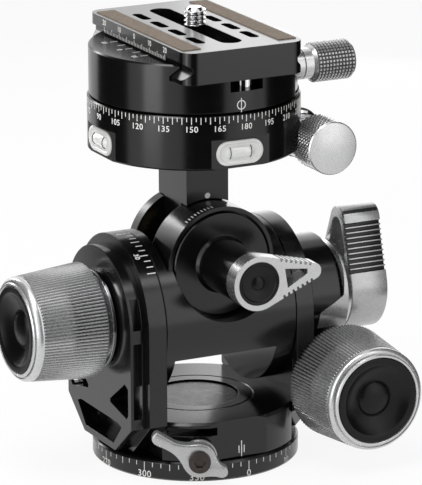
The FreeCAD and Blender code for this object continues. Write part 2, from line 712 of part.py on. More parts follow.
# plain bearing bushes of the X axis, one in each cheek
bush_pair = []
for start, name in (("-" + CHEEK_OUT, "left"), ("cheek_in", "right")):
    outer = rod(f"{name}_bush_outer", BUSH_OUT, "cheek_w", "x", (start, "0", "tilt_z"))
    inner = rod(f"{name}_bush_inner", "trunnion_r + slip", "cheek_w", "x", (start, "0", "tilt_z"))
    bush_pair.append(cut(f"{name}_bush", outer, [inner]))
bushes = doc.addObject("Part::Compound", "bush_pair")
bushes.Links = bush_pair
node("trunnion_bushes", bushes)

# screws that hold the cheeks to the yoke base
screws = []
for side, name in ((-1, "left"), (1, "right")):
    for end in (-1, 1):
        start = "-" + CHEEK_OUT + " + seam" if side < 0 else "cheek_in - cheek_screw_in"
        shank = rod(f"{name}_screw_{end + 1}", "cheek_screw_r", "cheek_w + cheek_screw_in - seam",
                    "x", (start, f"{end} * cheek_screw_y", "cheek_screw_z"))
        screws.append(shank)
screw_group = doc.addObject("Part::Compound", "screw_group")
screw_group.Links = screws
node("cheek_screws", screw_group)

# ---------------------------------------------------------------- tilt body

rims = [
    rod("left_rim", "cheek_r", "rim_l", "x", ("-cheek_in + seam", "0", "tilt_z")),
    rod("right_rim", "cheek_r", "rim_r", "x", ("cheek_in - seam - rim_r", "0", "tilt_z")),
]
BELLY_X = "(-cheek_in + seam + rim_l - 1)"
BELLY_W = "(2 * cheek_in - 2 * seam - rim_l - rim_r + 2)"
belly_round = rod("belly_round", "cheek_r", BELLY_W, "x", (BELLY_X, "0", "tilt_z"))
belly_box = block("belly_box", (BELLY_W, "2 * cheek_r", f"keel + {ROLL_Z} - tilt_z"),
                  (BELLY_X, "-cheek_r", "tilt_z - keel"))
belly = common("belly", [belly_round, belly_box])
barrel = rod("barrel", "barrel_r", "barrel_front + barrel_rear", "y", ("0", "-barrel_front", ROLL_Z))
left_trunnion = rod("left_trunnion", "trunnion_r", f"{FRAME_OUT} - cheek_in + seam + seam", "x",
                    (f"-{FRAME_OUT} - seam", "0", "tilt_z"))
right_trunnion = rod("right_trunnion", "trunnion_r", "cheek_w + seam + 1", "x",
                     ("cheek_in - seam", "0", "tilt_z"))
WHEEL_X = "(tilt_knob_x - tilt_wheel_w / 2)"
wheel_seat = rod("wheel_seat", "hub_r", f"{WHEEL_X} + tilt_wheel_w - cheek_in + seam", "x",
                 ("cheek_in - seam", "0", "tilt_z"))
tilt_blank = fuse("tilt_blank", rims + [belly, barrel, left_trunnion, right_trunnion, wheel_seat])
WORM_TIP = "(roll_worm_r + gear_module)"
slot_box = block("slot_box", (BELLY_W + " - 2", "slot_front + slot_rear", "2 * barrel_r"),
                 (BELLY_X + " + 1", "-slot_front", ROLL_Z))
wheel_well = rod("wheel_well", "gear_module * roll_teeth / 2 + gear_module + seam",
                 "slot_front + slot_rear", "y", ("0", "-slot_front", ROLL_Z))
worm_well = rod("worm_well", WORM_TIP + " + seam", "worm_len + 4 * seam", "x",
                ("-worm_len / 2 - 2 * seam", "0", "tilt_z"))
left_bore = rod("left_shaft_bore", "shaft_r + slip", f"{FRAME_OUT}", "x",
                (f"-{FRAME_OUT} - 2 * seam", "0", "tilt_z"))
right_bore = rod("right_shaft_bore", "shaft_r + slip", "worm_len / 2 + tail_len + seam", "x",
                 ("0", "0", "tilt_z"))
release_bore = rod("release_bore", "rod_r + slip", "tilt_knob_x", "x",
                   ("cheek_in - rim_r + 2 * seam", "0", "tilt_z"))
front_seat = rod("front_seat", "roll_bore_r", "cheek_r - barrel_front + roll_bore_deep", "y",
                 ("0", "-cheek_r", ROLL_Z))
rear_seat = rod("rear_seat", "roll_bore_r", "cheek_r - barrel_rear + rear_bore_deep", "y",
                ("0", "barrel_rear - rear_bore_deep", ROLL_Z))
axle_bore = rod("axle_bore", "axle_r + slip", "2 * cheek_r", "y", ("0", "-cheek_r", ROLL_Z))
tilt_cut = cut("tilt_cut", tilt_blank, [
    slot_box, wheel_well, worm_well, left_bore, right_bore, release_bore,
    front_seat, rear_seat, axle_bore,
])
node("tilt_body", tilt_cut)

# front cap with the release boss, and the plain rear cap
front_cap = turned("front_cap_blank", "y", [
    ("rod_r + slip", "-barrel_front + roll_bore_deep - seat"),
    ("rod_r + slip", "-barrel_front - boss_len"),
    ("boss_r", "-barrel_front - boss_len"),
    ("boss_r", "-barrel_front + roll_bore_deep - roll_cap_w - ring_edge"),
    ("boss_r + ring_edge", "-barrel_front + roll_bore_deep - roll_cap_w"),
    ("roll_cap_r - seam", "-barrel_front + roll_bore_deep - roll_cap_w"),
    ("roll_cap_r", "-barrel_front + roll_bore_deep - roll_cap_w + seam"),
    ("roll_cap_r", "-barrel_front + roll_bore_deep - seat"),
], at=("0", "0", ROLL_Z))
node("front_cap", front_cap)
rear_cap = turned("rear_cap_blank", "y", [
    ("0", "barrel_rear - rear_bore_deep + seat"),
    ("roll_cap_r", "barrel_rear - rear_bore_deep + seat"),
    ("roll_cap_r", "barrel_rear - rear_bore_deep + rear_cap_w - knob_edge"),
    ("roll_cap_r - knob_edge", "barrel_rear - rear_bore_deep + rear_cap_w"),
    ("0", "barrel_rear - rear_bore_deep + rear_cap_w"),
], at=("0", "0", ROLL_Z))
node("rear_cap", rear_cap)


def drive_ring(label, axis, at, way):
    """The chrome ring between a drive knob and its bearing face."""
    return node(label, turned(label + "_blank", axis, [
        ("shaft_r + slip", "0"),
        ("knob_ring_r - ring_edge", "0"),
        ("knob_ring_r", f"{way} * ring_edge"),
        ("knob_ring_r", f"{way} * (knob_ring_w - ring_edge)"),
        ("knob_ring_r - 2 * ring_edge", f"{way} * knob_ring_w"),
        ("shaft_r + slip", f"{way} * knob_ring_w"),
    ], at=at))


drive_ring("roll_knob_ring", "x", (f"-{FRAME_OUT} - seam", "0", "tilt_z"), -1)
drive_ring("tilt_knob_ring", "y", ("tilt_knob_x", "-case_front", WORM_Z), -1)


def drive_knob(label, axis, at, way):
    """Tapered knob with a recess for its rubber cap and a blind bore for the shaft."""
    return node(label, turned(label + "_blank", axis, [
        ("shaft_r + seat", "0"),
        ("knob_back_r - knob_edge", "0"),
        ("knob_back_r", f"{way} * knob_edge"),
        ("knob_front_r", f"{way} * (knob_len - knob_round)"),
        ("knob_front_r - knob_round", f"{way} * knob_len"),
        ("knob_cap_r + seat", f"{way} * knob_len"),
        ("knob_cap_r + seat", f"{way} * (knob_len - knob_cap_deep)"),
        ("0", f"{way} * (knob_len - knob_cap_deep)"),
        ("0", f"{way} * knob_bore"),
        ("shaft_r + seat", f"{way} * knob_bore"),
    ], at=at))


def rubber_cap(label, axis, at, radius, deep, ring, dome):
    """Dished rubber cap, facing back along its axis, with a ring and a small dome."""
    return node(label, turned(label + "_blank", axis, [
        ("0", "0"),
        (radius, "0"),
        (radius, f"cap_proud - {deep}"),
        (f"{radius} - cap_lip", f"-{deep} - cap_proud"),
        (f"{radius} - 2 * cap_lip", f"-{deep} - cap_proud / 2"),
        (f"{ring} + cap_ring_w", f"cap_dish - {deep}"),
        (ring, f"cap_dish - cap_ring_h - {deep}"),
        (f"{ring} - cap_ring_w", f"cap_dish - {deep}"),
        (f"{dome} + cap_ring_w", f"cap_dish - {deep}"),
        (dome, f"cap_dish - cap_ring_h - {deep}"),
        ("0", f"cap_dish - 2 * cap_ring_h - {deep}"),
    ], at=at))


drive_knob("roll_knob", "x", ("-" + KNOB_BACK, "0", "tilt_z"), -1)
rubber_cap("roll_knob_cap", "x", (f"-{KNOB_BACK} - knob_len + knob_cap_deep", "0", "tilt_z"),
           "knob_cap_r", "knob_cap_deep", "cap_ring_r", "cap_dome_r")
drive_knob("tilt_knob", "y", ("tilt_knob_x", "-tilt_knob_y", WORM_Z), -1)
rubber_cap("tilt_knob_cap", "y",
           ("tilt_knob_x", "-tilt_knob_y - knob_len + knob_cap_deep", WORM_Z),
           "knob_cap_r", "knob_cap_deep", "cap_ring_r", "cap_dome_r")

# ---------------------------------------------------------------- worm drives


# tooth proportions in modules, and tooth widths in shares of the pitch
TOOTH_OUT = 0.8
TOOTH_IN = 1.15
THREAD_CREST = 0.26
THREAD_FOOT = 0.62
TOOTH_CREST = 0.13
TOOTH_FOOT = 0.33


def worm_blank(pitch_r, back, front):
    """A shaft along Z from -back to +front with one start of thread round its middle."""
    module = size("gear_module")
    lead = math.pi * module
    tip = pitch_r + module * TOOTH_OUT
    root = pitch_r - module * TOOTH_IN
    half = size("worm_len") / 2
    turns = 2 * math.floor(half / lead) - 1
    run = turns * lead
    shaft = Part.makeCylinder(size("shaft_r"), back + front, Vector(0, 0, -back))
    core = Part.makeCylinder(root, 2 * half, Vector(0, 0, -half))
    crest = THREAD_CREST * lead / 2
    foot = THREAD_FOOT * lead / 2
    low = root - size("seam") / 2
    helix = Part.makeHelix(lead, run, root)
    corners = [(low, -foot), (tip, -crest), (tip, crest), (low, foot)]
    wire = Part.makePolygon([Vector(x, 0, z) for x, z in corners + corners[:1]])
    thread = Part.Wire(helix).makePipeShell([wire], True, True)
    thread.translate(Vector(0, 0, -run / 2))
    return shaft.fuse(core).fuse(thread).removeSplitter()


def worm_wheel(teeth, wide, bore):
    """A wheel on the XY plane with straight flanks and a tooth on the X axis."""
    module = size("gear_module")
    pitch_r = module * teeth / 2
    tip = pitch_r + module * TOOTH_OUT
    root = pitch_r - module * TOOTH_IN
    step = math.tau / teeth
    points = []
    for i in range(int(teeth)):
        mid = i * step
        for radius, share in ((root, -TOOTH_FOOT), (tip, -TOOTH_CREST), (tip, TOOTH_CREST), (root, TOOTH_FOOT)):
            points.append(Vector(radius * math.cos(mid + share * step),
                                 radius * math.sin(mid + share * step), 0))
    face = Part.Face(Part.makePolygon(points + points[:1]))
    gear = face.extrude(Vector(0, 0, wide))
    return gear.cut(Part.makeCylinder(bore, wide, Vector(0, 0, 0)))


tilt_z = size("tilt_z")
roll_z = tilt_z + size("gear_module") * size("roll_teeth") / 2 + size("roll_worm_r")
worm_z = tilt_z - size("gear_module") * size("tilt_teeth") / 2 - size("tilt_worm_r")
frame_out = size("cheek_in") + size("cheek_w") + size("frame_w")
knob_back = frame_out + size("knob_gap")

roll_worm = worm_blank(size("roll_worm_r"), size("worm_len") / 2 + size("tail_len"),
                       knob_back + size("knob_bore") - size("seat"))
roll_worm.rotate(Vector(0, 0, 0), Vector(0, 1, 0), -90)
roll_worm.translate(Vector(0, 0, tilt_z))
solid_node("roll_worm", roll_worm)

tilt_worm = worm_blank(size("tilt_worm_r"), size("worm_len") / 2 + size("tail_len") - 1,
                       size("tilt_knob_y") + size("knob_bore") - size("seat"))
tilt_worm.rotate(Vector(0, 0, 0), Vector(0, 0, 1), 90)
tilt_worm.rotate(Vector(0, 0, 0), Vector(1, 0, 0), 90)
tilt_worm.translate(Vector(size("tilt_knob_x"), 0, worm_z))
solid_node("tilt_worm", tilt_worm)

roll_wheel = worm_wheel(size("roll_teeth"), size("roll_wheel_w"),
                        size("axle_r") + size("seat"))
roll_wheel.rotate(Vector(0, 0, 0), Vector(1, 0, 0), 90)
roll_wheel.translate(Vector(0, size("roll_wheel_w") / 2, roll_z))
solid_node("roll_wheel", roll_wheel)

tilt_wheel = worm_wheel(size("tilt_teeth"), size("tilt_wheel_w"),
                        size("hub_r") + size("seat"))
tilt_wheel.rotate(Vector(0, 0, 0), Vector(0, 1, 0), 90)
tilt_wheel.translate(Vector(size("tilt_knob_x") - size("tilt_wheel_w") / 2, 0, tilt_z))
solid_node("tilt_wheel", tilt_wheel)

# ---------------------------------------------------------------- tilt gearbox on the right cheek

WHEEL_TIP = "(gear_module * tilt_teeth / 2 + gear_module)"
CASE_WELL = "(tilt_worm_r + gear_module + seam)"
gear_round = rod("gear_round", "box_r", f"box_out - box_wall - {CHEEK_OUT}", "x",
                 (CHEEK_OUT, "0", "tilt_z"))
gear_web = block("gear_web", ("box_out - box_wall - cheek_in - cheek_w", "2 * box_half", f"tilt_z - {WORM_Z}"),
                 (CHEEK_OUT, "-box_half", WORM_Z))
gear_case = rod("gear_case", "case_r", "case_front + box_half", "y",
                ("tilt_knob_x", "-case_front", WORM_Z))
gear_blank = fuse("gear_blank", [gear_round, gear_web, gear_case])
wheel_room = rod("wheel_room", WHEEL_TIP + " + seam", "tilt_wheel_w + 4 * seam + box_wall", "x",
                 (WHEEL_X + " - 2 * seam", "0", "tilt_z"))
worm_room = rod("worm_room", CASE_WELL, "worm_len + 4 * seam", "y",
                ("tilt_knob_x", "-worm_len / 2 - 2 * seam", WORM_Z))
case_bore = rod("case_bore", "shaft_r + slip", "case_front + worm_len / 2 + tail_len - 1 + seam", "y",
                ("tilt_knob_x", "-case_front", WORM_Z))
seat_bore = rod("seat_bore", "trunnion_r + slip", "2 * box_wall", "x", (CHEEK_OUT, "0", "tilt_z"))
seat_thru = rod("seat_thru", "hub_r + slip", "box_out", "x", (CHEEK_OUT, "0", "tilt_z"))
cover_room = rod("cover_room", "box_r + seat", "box_wall + seam", "x",
                 ("box_out - box_wall", "0", "tilt_z"))
flange_room = rod("flange_room", "wing_flange_r + seam", "case_r", "x", ("box_out", "0", "tilt_z"))
node("tilt_gearbox", cut("gear_cut", gear_blank, [
    wheel_room, worm_room, case_bore, seat_bore, seat_thru, cover_room, flange_room,
]))

cover = turned("cover_blank", "x", [
    ("rod_r + slip", "box_out - box_wall"),
    ("box_r", "box_out - box_wall"),
    ("cover_top_r", "box_out"),
    ("rod_r + slip", "box_out"),
], at=("0", "0", "tilt_z"))
cover_notch = rod("cover_notch", CASE_WELL, "2 * box_r", "y", ("tilt_knob_x", "-box_r", WORM_Z))
node("gearbox_cover", cut("cover_cut", cover, [cover_notch]))

# ---------------------------------------------------------------- wing lever of the tilt release

FLANGE_X = "(box_out + seam)"
WING_X = "(box_out + seam + wing_flange_w)"
flange = turned("flange_blank", "x", [
    ("rod_r + seat", FLANGE_X),
    ("wing_flange_r - ring_edge", FLANGE_X),
    ("wing_flange_r", FLANGE_X + " + ring_edge"),
    ("wing_flange_r - ring_edge", WING_X),
    ("rod_r + seat", WING_X),
], at=("0", "0", "tilt_z"))
node("wing_flange", flange)
release_rod = rod("release_rod", "rod_r", f"{WING_X} + wing_w / 2 - cheek_in + rim_r - 4 * seam", "x",
                  ("cheek_in - rim_r + 3 * seam", "0", "tilt_z"))
node("release_rod", release_rod)


def ribs(start, end, out, count, wide):
    """The grooves between the ribs of a grip face, from its outer end inwards."""
    way = end.sub(start).normalize()
    pitch = size("rib_pitch")
    deep = size("rib_deep")
    half = pitch * RIB_GAP
    grooves = []
    for i in range(count):
        mid = end - way * (pitch * (i + 1))
        corners = [mid + way * half + out * half, mid - out * deep + way * half / 2,
                   mid - out * deep - way * half / 2, mid - way * half + out * half]
        grooves.append(prism([(point.x, point.y) for point in corners], wide))
    return Part.makeCompound(grooves)


RIB_GAP = 0.33  # half of a groove's mouth in shares of the spacing


def wing_shape():
    """Hub and leaning grip in one outline, with a triangular opening and ribs in front."""
    hub_r = size("wing_r")
    tip_r = size("wing_tip_r")
    top = size("wing_tip")
    lean = size("wing_lean")
    wide = size("wing_w")
    wall = size("wing_wall")
    body = tapered_link((0, 0), hub_r, (-lean, top), tip_r, wide)
    opening = prism([
        (-lean + wall + seam, top - seam),
        (tip_r, hub_r - wall),
        (-tip_r, hub_r - wall + seam),
    ], wide)
    side = math.atan2(top, -lean) + math.acos((hub_r - tip_r) / math.hypot(lean, top))
    out = Vector(math.cos(side), math.sin(side), 0)
    grooves = ribs(out * hub_r, Vector(-lean, top, 0) + out * tip_r, out, 10, wide)
    bore = Part.makeCylinder(size("rod_r") + seat, wide / 2)
    return body.cut(opening).cut(grooves).cut(bore)


seam = size("seam")
seat = size("seat")
wing = wing_shape()
wing.Placement = Placement(
    Vector(size("box_out") + seam + size("wing_flange_w"), 0, tilt_z),
    Rotation(0.5, 0.5, 0.5, 0.5),
)
solid_node("wing_lever", wing)

# ---------------------------------------------------------------- roll release lever

TRI_Y = "(barrel_front + boss_len + seam)"
roll_rod = rod("roll_release_rod", "rod_r", f"{TRI_Y} + tri_w / 2 - barrel_front + roll_bore_deep - 2 * seam",
               "y", ("0", f"-{TRI_Y} - tri_w / 2 + seam", ROLL_Z))
node("roll_release_rod", roll_rod)


def tri_shape():
    """Ring with a short triangular grip, open in the middle and ribbed on top."""
    wide = size("tri_w")
    ring_r = size("tri_r")
    tip_r = size("tri_tip_r")
    reach = size("tri_tip")
    rise = size("tri_rise")
    wall = tip_r - seam
    body = tapered_link((0, 0), ring_r, (reach, rise), tip_r, wide)
    opening = prism([
        (ring_r + seam, ring_r / 2 - 2 * seam),
        (reach - wall, rise + 1.0),
        (reach - wall, rise - 0.4),
        (ring_r + tip_r / 2, -tip_r),
    ], wide)
    side = math.atan2(rise, reach) + math.acos((ring_r - tip_r) / math.hypot(reach, rise))
    out = Vector(math.cos(side), math.sin(side), 0)
    grooves = ribs(out * ring_r, Vector(reach, rise, 0) + out * tip_r, out, 7, wide)
    below = math.atan2(rise, reach) - math.acos((ring_r - tip_r) / math.hypot(reach, rise))
    down = Vector(math.cos(below), math.sin(below), 0)
    teeth = ribs(down * ring_r, Vector(reach, rise, 0) + down * tip_r, down, 7, wide)
    deep = size("tri_cap_deep")
    recess = Part.makeCylinder(size("tri_cap_r") + seat, deep, Vector(0, 0, wide - deep))
    bore = Part.makeCylinder(size("rod_r") + seat, wide / 2)
    return body.cut(opening).cut(grooves).cut(teeth).cut(recess).cut(bore)


tri = tri_shape()
tri_back = size("barrel_front") + size("boss_len") + seam
tri.Placement = Placement(Vector(0, -tri_back, roll_z), Rotation(Vector(1, 0, 0), 90))
solid_node("triangular_lever", tri)
rubber_cap("triangular_cap", "y", ("0", f"-{TRI_Y} - tri_w + tri_cap_deep", ROLL_Z),
           "tri_cap_r", "tri_cap_deep", "small_ring_r", "small_dome_r")

# ---------------------------------------------------------------- stem and roll axle

SADDLE = "(barrel_r + seam)"
stem_top = block("stem_top", ("2 * stem_half", "stem_front + stem_rear", f"housing_z - {ROLL_Z}"),
                 ("-stem_half", "-stem_front", ROLL_Z))
saddle_cut = rod("saddle_cut", SADDLE, "stem_front + stem_rear + 2 * seam", "y",
                 ("0", "-stem_front - seam", ROLL_Z))
stem_upper = cut("stem_upper", stem_top, [saddle_cut])
neck_block = block("neck_block", ("2 * stem_half", "neck_front + neck_rear", "barrel_r + saddle_over"),
                   ("-stem_half", "-neck_front", ROLL_Z))
stem_hub = rod("stem_hub", "stem_hub_r", "neck_front + neck_rear", "y", ("0", "-neck_front", ROLL_Z))
stem_blank = fuse("stem_blank", [stem_upper, neck_block, stem_hub])
fork_gap = rod("fork_gap", "gear_module * roll_teeth / 2 + gear_module + seam",
               "roll_wheel_w + 2 * seat", "y", ("0", "-roll_wheel_w / 2 - seat", ROLL_Z))
hub_axle = rod("hub_axle", "axle_r + seat", "neck_front + neck_rear", "y", ("0", "-neck_front", ROLL_Z))
node("stem_block", cut("stem_cut", stem_blank, [fork_gap, hub_axle]))
roll_axle = rod("roll_axle", "axle_r",
                "barrel_front + barrel_rear - roll_bore_deep - rear_bore_deep - 2 * seam", "y",
                ("0", "-barrel_front + roll_bore_deep + seam", ROLL_Z))
node("roll_axle", roll_axle)

# ---------------------------------------------------------------- pan housing

housing_round = turned("housing_round", "z", [
    ("0", "0"),
    ("housing_r - disc_edge", "0"),
    ("housing_r", "disc_edge"),
    ("housing_r", "housing_h - disc_edge"),
    ("housing_r - disc_edge", "housing_h"),
    ("post_r", "housing_h"),
    ("post_r", "housing_h + post_h"),
    ("post_neck_r", "housing_h + post_h"),
    ("post_neck_r", "housing_h + post_h + post_neck_h"),
    ("0", "housing_h + post_h + post_neck_h"),
], at=("0", "0", "housing_z"))
front_flat = block("front_flat", ("2 * housing_r", "flat_deep", "housing_flat_h"),
                   ("-housing_r", "-housing_r", "housing_z"))
left_flat = block("left_flat", ("flat_deep", "2 * housing_r", "housing_flat_h"),
                  ("-housing_r", "-housing_r", "housing_z"))
housing_trim = cut("housing_trim", housing_round, [front_flat, left_flat])
lug = rod("lug", "lug_r", "lug_front + lug_rear", "y", ("lock_x", "-lug_front", "lock_z"))
housing_blank = fuse("housing_blank", [housing_trim, lug])
saw = block("saw", ("2 * lug_r + lock_x - split_in", "lug_split", "2 * lug_r + seam"),
            ("split_in", "split_y - lug_split / 2", "lock_z - lug_r - seam"))
lock_bore = rod("lock_bore_hole", "lock_screw_r + slip", "lug_front + lug_rear", "y",
                ("lock_x", "-lug_front", "lock_z"))
knob_scoop = rod("knob_scoop", "lock_knob_r + 2 * seam", "housing_r", "y",
                 ("lock_x", "-lug_front - housing_r", "lock_z"))
VIAL_END = "(vial_len - vial_h) / 2"


def vial_slot(label, grow, front, deep):
    """A stadium-shaped block for a spirit level on the front flat or on the left one."""
    if front:
        middle = block(label + "_middle", ("vial_len - vial_h", deep, f"vial_h + 2 * {grow}"),
                       (f"-vial_x - {VIAL_END}", f"-{HOUSING_FLAT} - vial_proud", f"vial_z - vial_h / 2 - {grow}"))
        ends = [rod(f"{label}_end_{sign + 1}", f"vial_h / 2 + {grow}", deep, "y",
                    (f"-vial_x + {sign} * {VIAL_END}", f"-{HOUSING_FLAT} - vial_proud", "vial_z"))
                for sign in (-1, 1)]
    else:
        middle = block(label + "_middle", (deep, "vial_len - vial_h", f"vial_h + 2 * {grow}"),
                       (f"-{HOUSING_FLAT} - vial_proud", f"vial_y - {VIAL_END}", f"vial_z - vial_h / 2 - {grow}"))
        ends = [rod(f"{label}_end_{sign + 1}", f"vial_h / 2 + {grow}", deep, "x",
                    (f"-{HOUSING_FLAT} - vial_proud", f"vial_y + {sign} * {VIAL_END}", "vial_z"))
                for sign in (-1, 1)]
    return fuse(label + "_blank", [middle] + ends)


front_room = vial_slot("front_vial_room", "seat", True, "vial_deep + seat")
left_room = vial_slot("left_vial_room", "seat", False, "vial_deep + seat")
node("pan_housing", cut("housing_cut", housing_blank,
                        [saw, lock_bore, knob_scoop, front_room, left_room]))
node("front_vial", vial_slot("front_vial", "0", True, "vial_deep"))
node("left_vial", vial_slot("left_vial", "0", False, "vial_deep"))
retainer = rod("pan_retainer", "retainer_r", "retainer_h", "z",
               ("0", "0", f"{HOUSING_TOP} + post_h + post_neck_h"))
node("pan_retainer", retainer)

# pan lock: washer, knob and screw on the lug
washer = turned("washer_blank", "y", [
    ("lock_screw_r + slip", "0"),
    ("lock_washer_r", "0"),
    ("lock_washer_r", "-lock_washer_w / 2 + seam"),
    ("lock_washer_r - ring_edge", "-lock_washer_w / 2"),
    ("lock_washer_r - ring_edge", "-lock_washer_w"),
    ("lock_screw_r + slip", "-lock_washer_w"),
], at=("lock_x", "-lug_front", "lock_z"))
node("lock_washer", washer)
LOCK_Y = "(lug_front + lock_washer_w + seam)"
lock_knob = turned("lock_knob_blank", "y", [
    ("lock_screw_r + seat", "0"),
    ("lock_collar_r", "0"),
    ("lock_collar_r", "-lock_collar_w"),
    ("lock_knob_r - knob_bevel", "-lock_collar_w"),
    ("lock_knob_r", "-lock_collar_w - knob_bevel"),
    ("lock_knob_r", "-lock_collar_w - lock_knob_w + knob_bevel"),
    ("lock_knob_r - knob_bevel", "-lock_collar_w - lock_knob_w"),
    ("0", "-lock_collar_w - lock_knob_w"),
    ("0", "-lock_bore"),
    ("lock_screw_r + seat", "-lock_bore"),
], at=("lock_x", f"-{LOCK_Y}", "lock_z"))
node("lock_knob", lock_knob)
node("lock_screw", rod("lock_screw", "lock_screw_r", f"{LOCK_Y} + lock_bore + lug_rear - seam", "y",
                       ("lock_x", f"-{LOCK_Y} - lock_bore + seat", "lock_z")))

# ---------------------------------------------------------------- panning clamp

disc_round = turned("disc_round", "z", [
    ("post_r + slip", "0"),
    ("disc_r - disc_edge", "0"),
    ("disc_r", "disc_edge"),
    ("disc_r", "disc_h - disc_edge"),
    ("disc_r - disc_edge", "disc_h"),
    ("post_neck_r + slip", "disc_h"),
    ("post_neck_r + slip", "post_h"),
    ("post_r + slip", "post_h"),
], at=("0", "0", DISC_Z))
LIP = "(plate_half + vee_gap)"
PAST = "(disc_r + 1)"
channel = milled("channel", "XZ_Plane", [[
    (f"-{LIP}", FLOOR_Z),
    (f"-{LIP}", f"{PLATE_Z} + plate_foot"),
    (f"vee_deep - {LIP}", f"{PLATE_Z} + plate_foot + vee_deep"),
    (f"vee_deep - {LIP}", f"{DISC_TOP} + 1"),
    (PAST, f"{DISC_TOP} + 1"),
    (PAST, FLOOR_Z),
]], f"-{PAST}", f"2 * {PAST}")
jaw_room = block("jaw_room", (PAST, "2 * jaw_half + 2 * seam", "jaw_drop + plate_h"),
                 (LIP, "-jaw_half - seam", f"{PLATE_Z} - jaw_drop - seam"))
retainer_room = rod("retainer_room", "retainer_r + seam", "disc_h", "z",
                    ("0", "0", f"{DISC_Z} + post_h + disc_web"))
notch = block("notch", ("2 * notch_half", f"disc_r - {PIN_Y} + notch_in + 1", "notch_deep + 1"),
              ("pin_x - notch_off - notch_half", f"-{PAST}", f"{FLOOR_Z} - notch_deep"))
PIN_LEN = "(jaw_drop - pin_travel - pin_low)"
pin_bore = rod("pin_bore", "pin_r + slip", "jaw_drop + seam", "z",
               ("pin_x", f"-{PIN_Y}", f"{PLATE_Z} - jaw_drop - seam"))
CLAMP_Z = f"{PLATE_Z} - clamp_drop"
screw_bore = rod("screw_bore", "clamp_screw_r + slip", "disc_r", "x",
                 ("clamp_tip - seam", "-clamp_y", CLAMP_Z))
guide_bores = [rod(f"guide_bore_{end + 1}", "guide_r + seat", "disc_r", "x",
                   ("guide_in", f"{end} * guide_y", CLAMP_Z)) for end in (-1, 1)]
node("upper_disc", cut("disc_cut", disc_round,
                       [channel, jaw_room, retainer_room, notch, pin_bore, screw_bore] + guide_bores))
guides = doc.addObject("Part::Compound", "guide_pair")
guides.Links = [rod(f"guide_{end + 1}", "guide_r", "guide_out - guide_in", "x",
                    ("guide_in", f"{end} * guide_y", CLAMP_Z)) for end in (-1, 1)]
node("jaw_guides", guides)

jaw_bar = milled("jaw_bar", "XZ_Plane", [[
    (f"{LIP} + seam", f"{PLATE_Z} - jaw_drop"),
    (f"{LIP} + seam", f"{PLATE_Z} + plate_foot - seam"),
    (f"{LIP} - vee_deep", f"{PLATE_Z} + plate_foot + vee_deep"),
    (f"{LIP} - vee_deep", DISC_TOP),
    (PAST, DISC_TOP),
    (PAST, f"{PLATE_Z} - jaw_drop"),
]], "-jaw_half", "2 * jaw_half")
jaw_round = rod("jaw_round", "jaw_edge_r", "2 * disc_h", "z", ("0", "0", DISC_Z))
jaw_body = common("jaw_body", [jaw_bar, jaw_round])
jaw_boss = rod("jaw_boss", "clamp_boss_r", f"clamp_boss_x - {LIP} - seam", "x",
               (f"{LIP} + seam", "-clamp_y", CLAMP_Z))
jaw_blank = fuse("jaw_blank", [jaw_body, jaw_boss])
jaw_screw = rod("jaw_screw_bore", "clamp_screw_r + slip", "disc_r", "x", (LIP, "-clamp_y", CLAMP_Z))
jaw_guide = [rod(f"jaw_guide_{end + 1}", "guide_r + slip", f"guide_out + seam - {LIP}", "x",
                 (LIP, f"{end} * guide_y", CLAMP_Z)) for end in (-1, 1)]
node("clamp_jaw", cut("jaw_cut", jaw_blank, [jaw_screw] + jaw_guide))

clamp_knob = turned("clamp_knob_blank", "x", [
    ("clamp_screw_r + seat", "0"),
    ("clamp_neck_r", "0"),
    ("clamp_neck_r", "clamp_neck_w"),
    ("clamp_knob_r - knob_bevel", "clamp_neck_w"),
    ("clamp_knob_r", "clamp_neck_w + knob_bevel"),
    ("clamp_knob_r", "clamp_neck_w + clamp_knob_w - knob_bevel"),
    ("clamp_knob_r - knob_bevel", "clamp_neck_w + clamp_knob_w"),
    ("0", "clamp_neck_w + clamp_knob_w"),
    ("0", "clamp_bore"),
    ("clamp_screw_r + seat", "clamp_bore"),
], at=("clamp_boss_x + seam", "-clamp_y", CLAMP_Z))
node("clamp_knob", clamp_knob)
node("clamp_screw", rod("clamp_screw", "clamp_screw_r", "clamp_boss_x + seam + clamp_bore - seat - clamp_tip",
                        "x", ("clamp_tip", "-clamp_y", CLAMP_Z)))
node("safety_pin", rod("safety_pin", "pin_r", PIN_LEN, "z",
                       ("pin_x", f"-{PIN_Y}", f"{PLATE_Z} - pin_low - {PIN_LEN}")))

# ---------------------------------------------------------------- camera plate

VEE_TOP = "plate_foot + vee_deep + vee_flat + seam"
plate_bar = milled("plate_bar", "XZ_Plane", [[
    ("-plate_half", PLATE_Z),
    ("-plate_half", f"{PLATE_Z} + plate_foot"),
    ("vee_deep - plate_half", f"{PLATE_Z} + plate_foot + vee_deep"),
    ("vee_deep - plate_half", f"{PLATE_Z} + {VEE_TOP}"),
    ("-plate_half", f"{PLATE_Z} + {VEE_TOP} + vee_top"),
    ("-plate_half", f"{PLATE_Z} + plate_h"),
    ("plate_half", f"{PLATE_Z} + plate_h"),
    ("plate_half", f"{PLATE_Z} + {VEE_TOP} + vee_top"),
    ("plate_half - vee_deep", f"{PLATE_Z} + {VEE_TOP}"),
    ("plate_half - vee_deep", f"{PLATE_Z} + plate_foot + vee_deep"),
    ("plate_half", f"{PLATE_Z} + plate_foot"),
    ("plate_half", PLATE_Z),
]], "plate_y - plate_len / 2", "plate_len")
plan_parts = [
    block("plan_wide", ("2 * plate_half", "plate_len - 2 * plate_corner", "plate_h"),
          ("-plate_half", "plate_corner - plate_y - plate_len / 2", PLATE_Z)),
    block("plan_long", ("2 * plate_half - 2 * plate_corner", "plate_len", "plate_h"),
          ("plate_corner - plate_half", "-plate_y - plate_len / 2", PLATE_Z)),
]
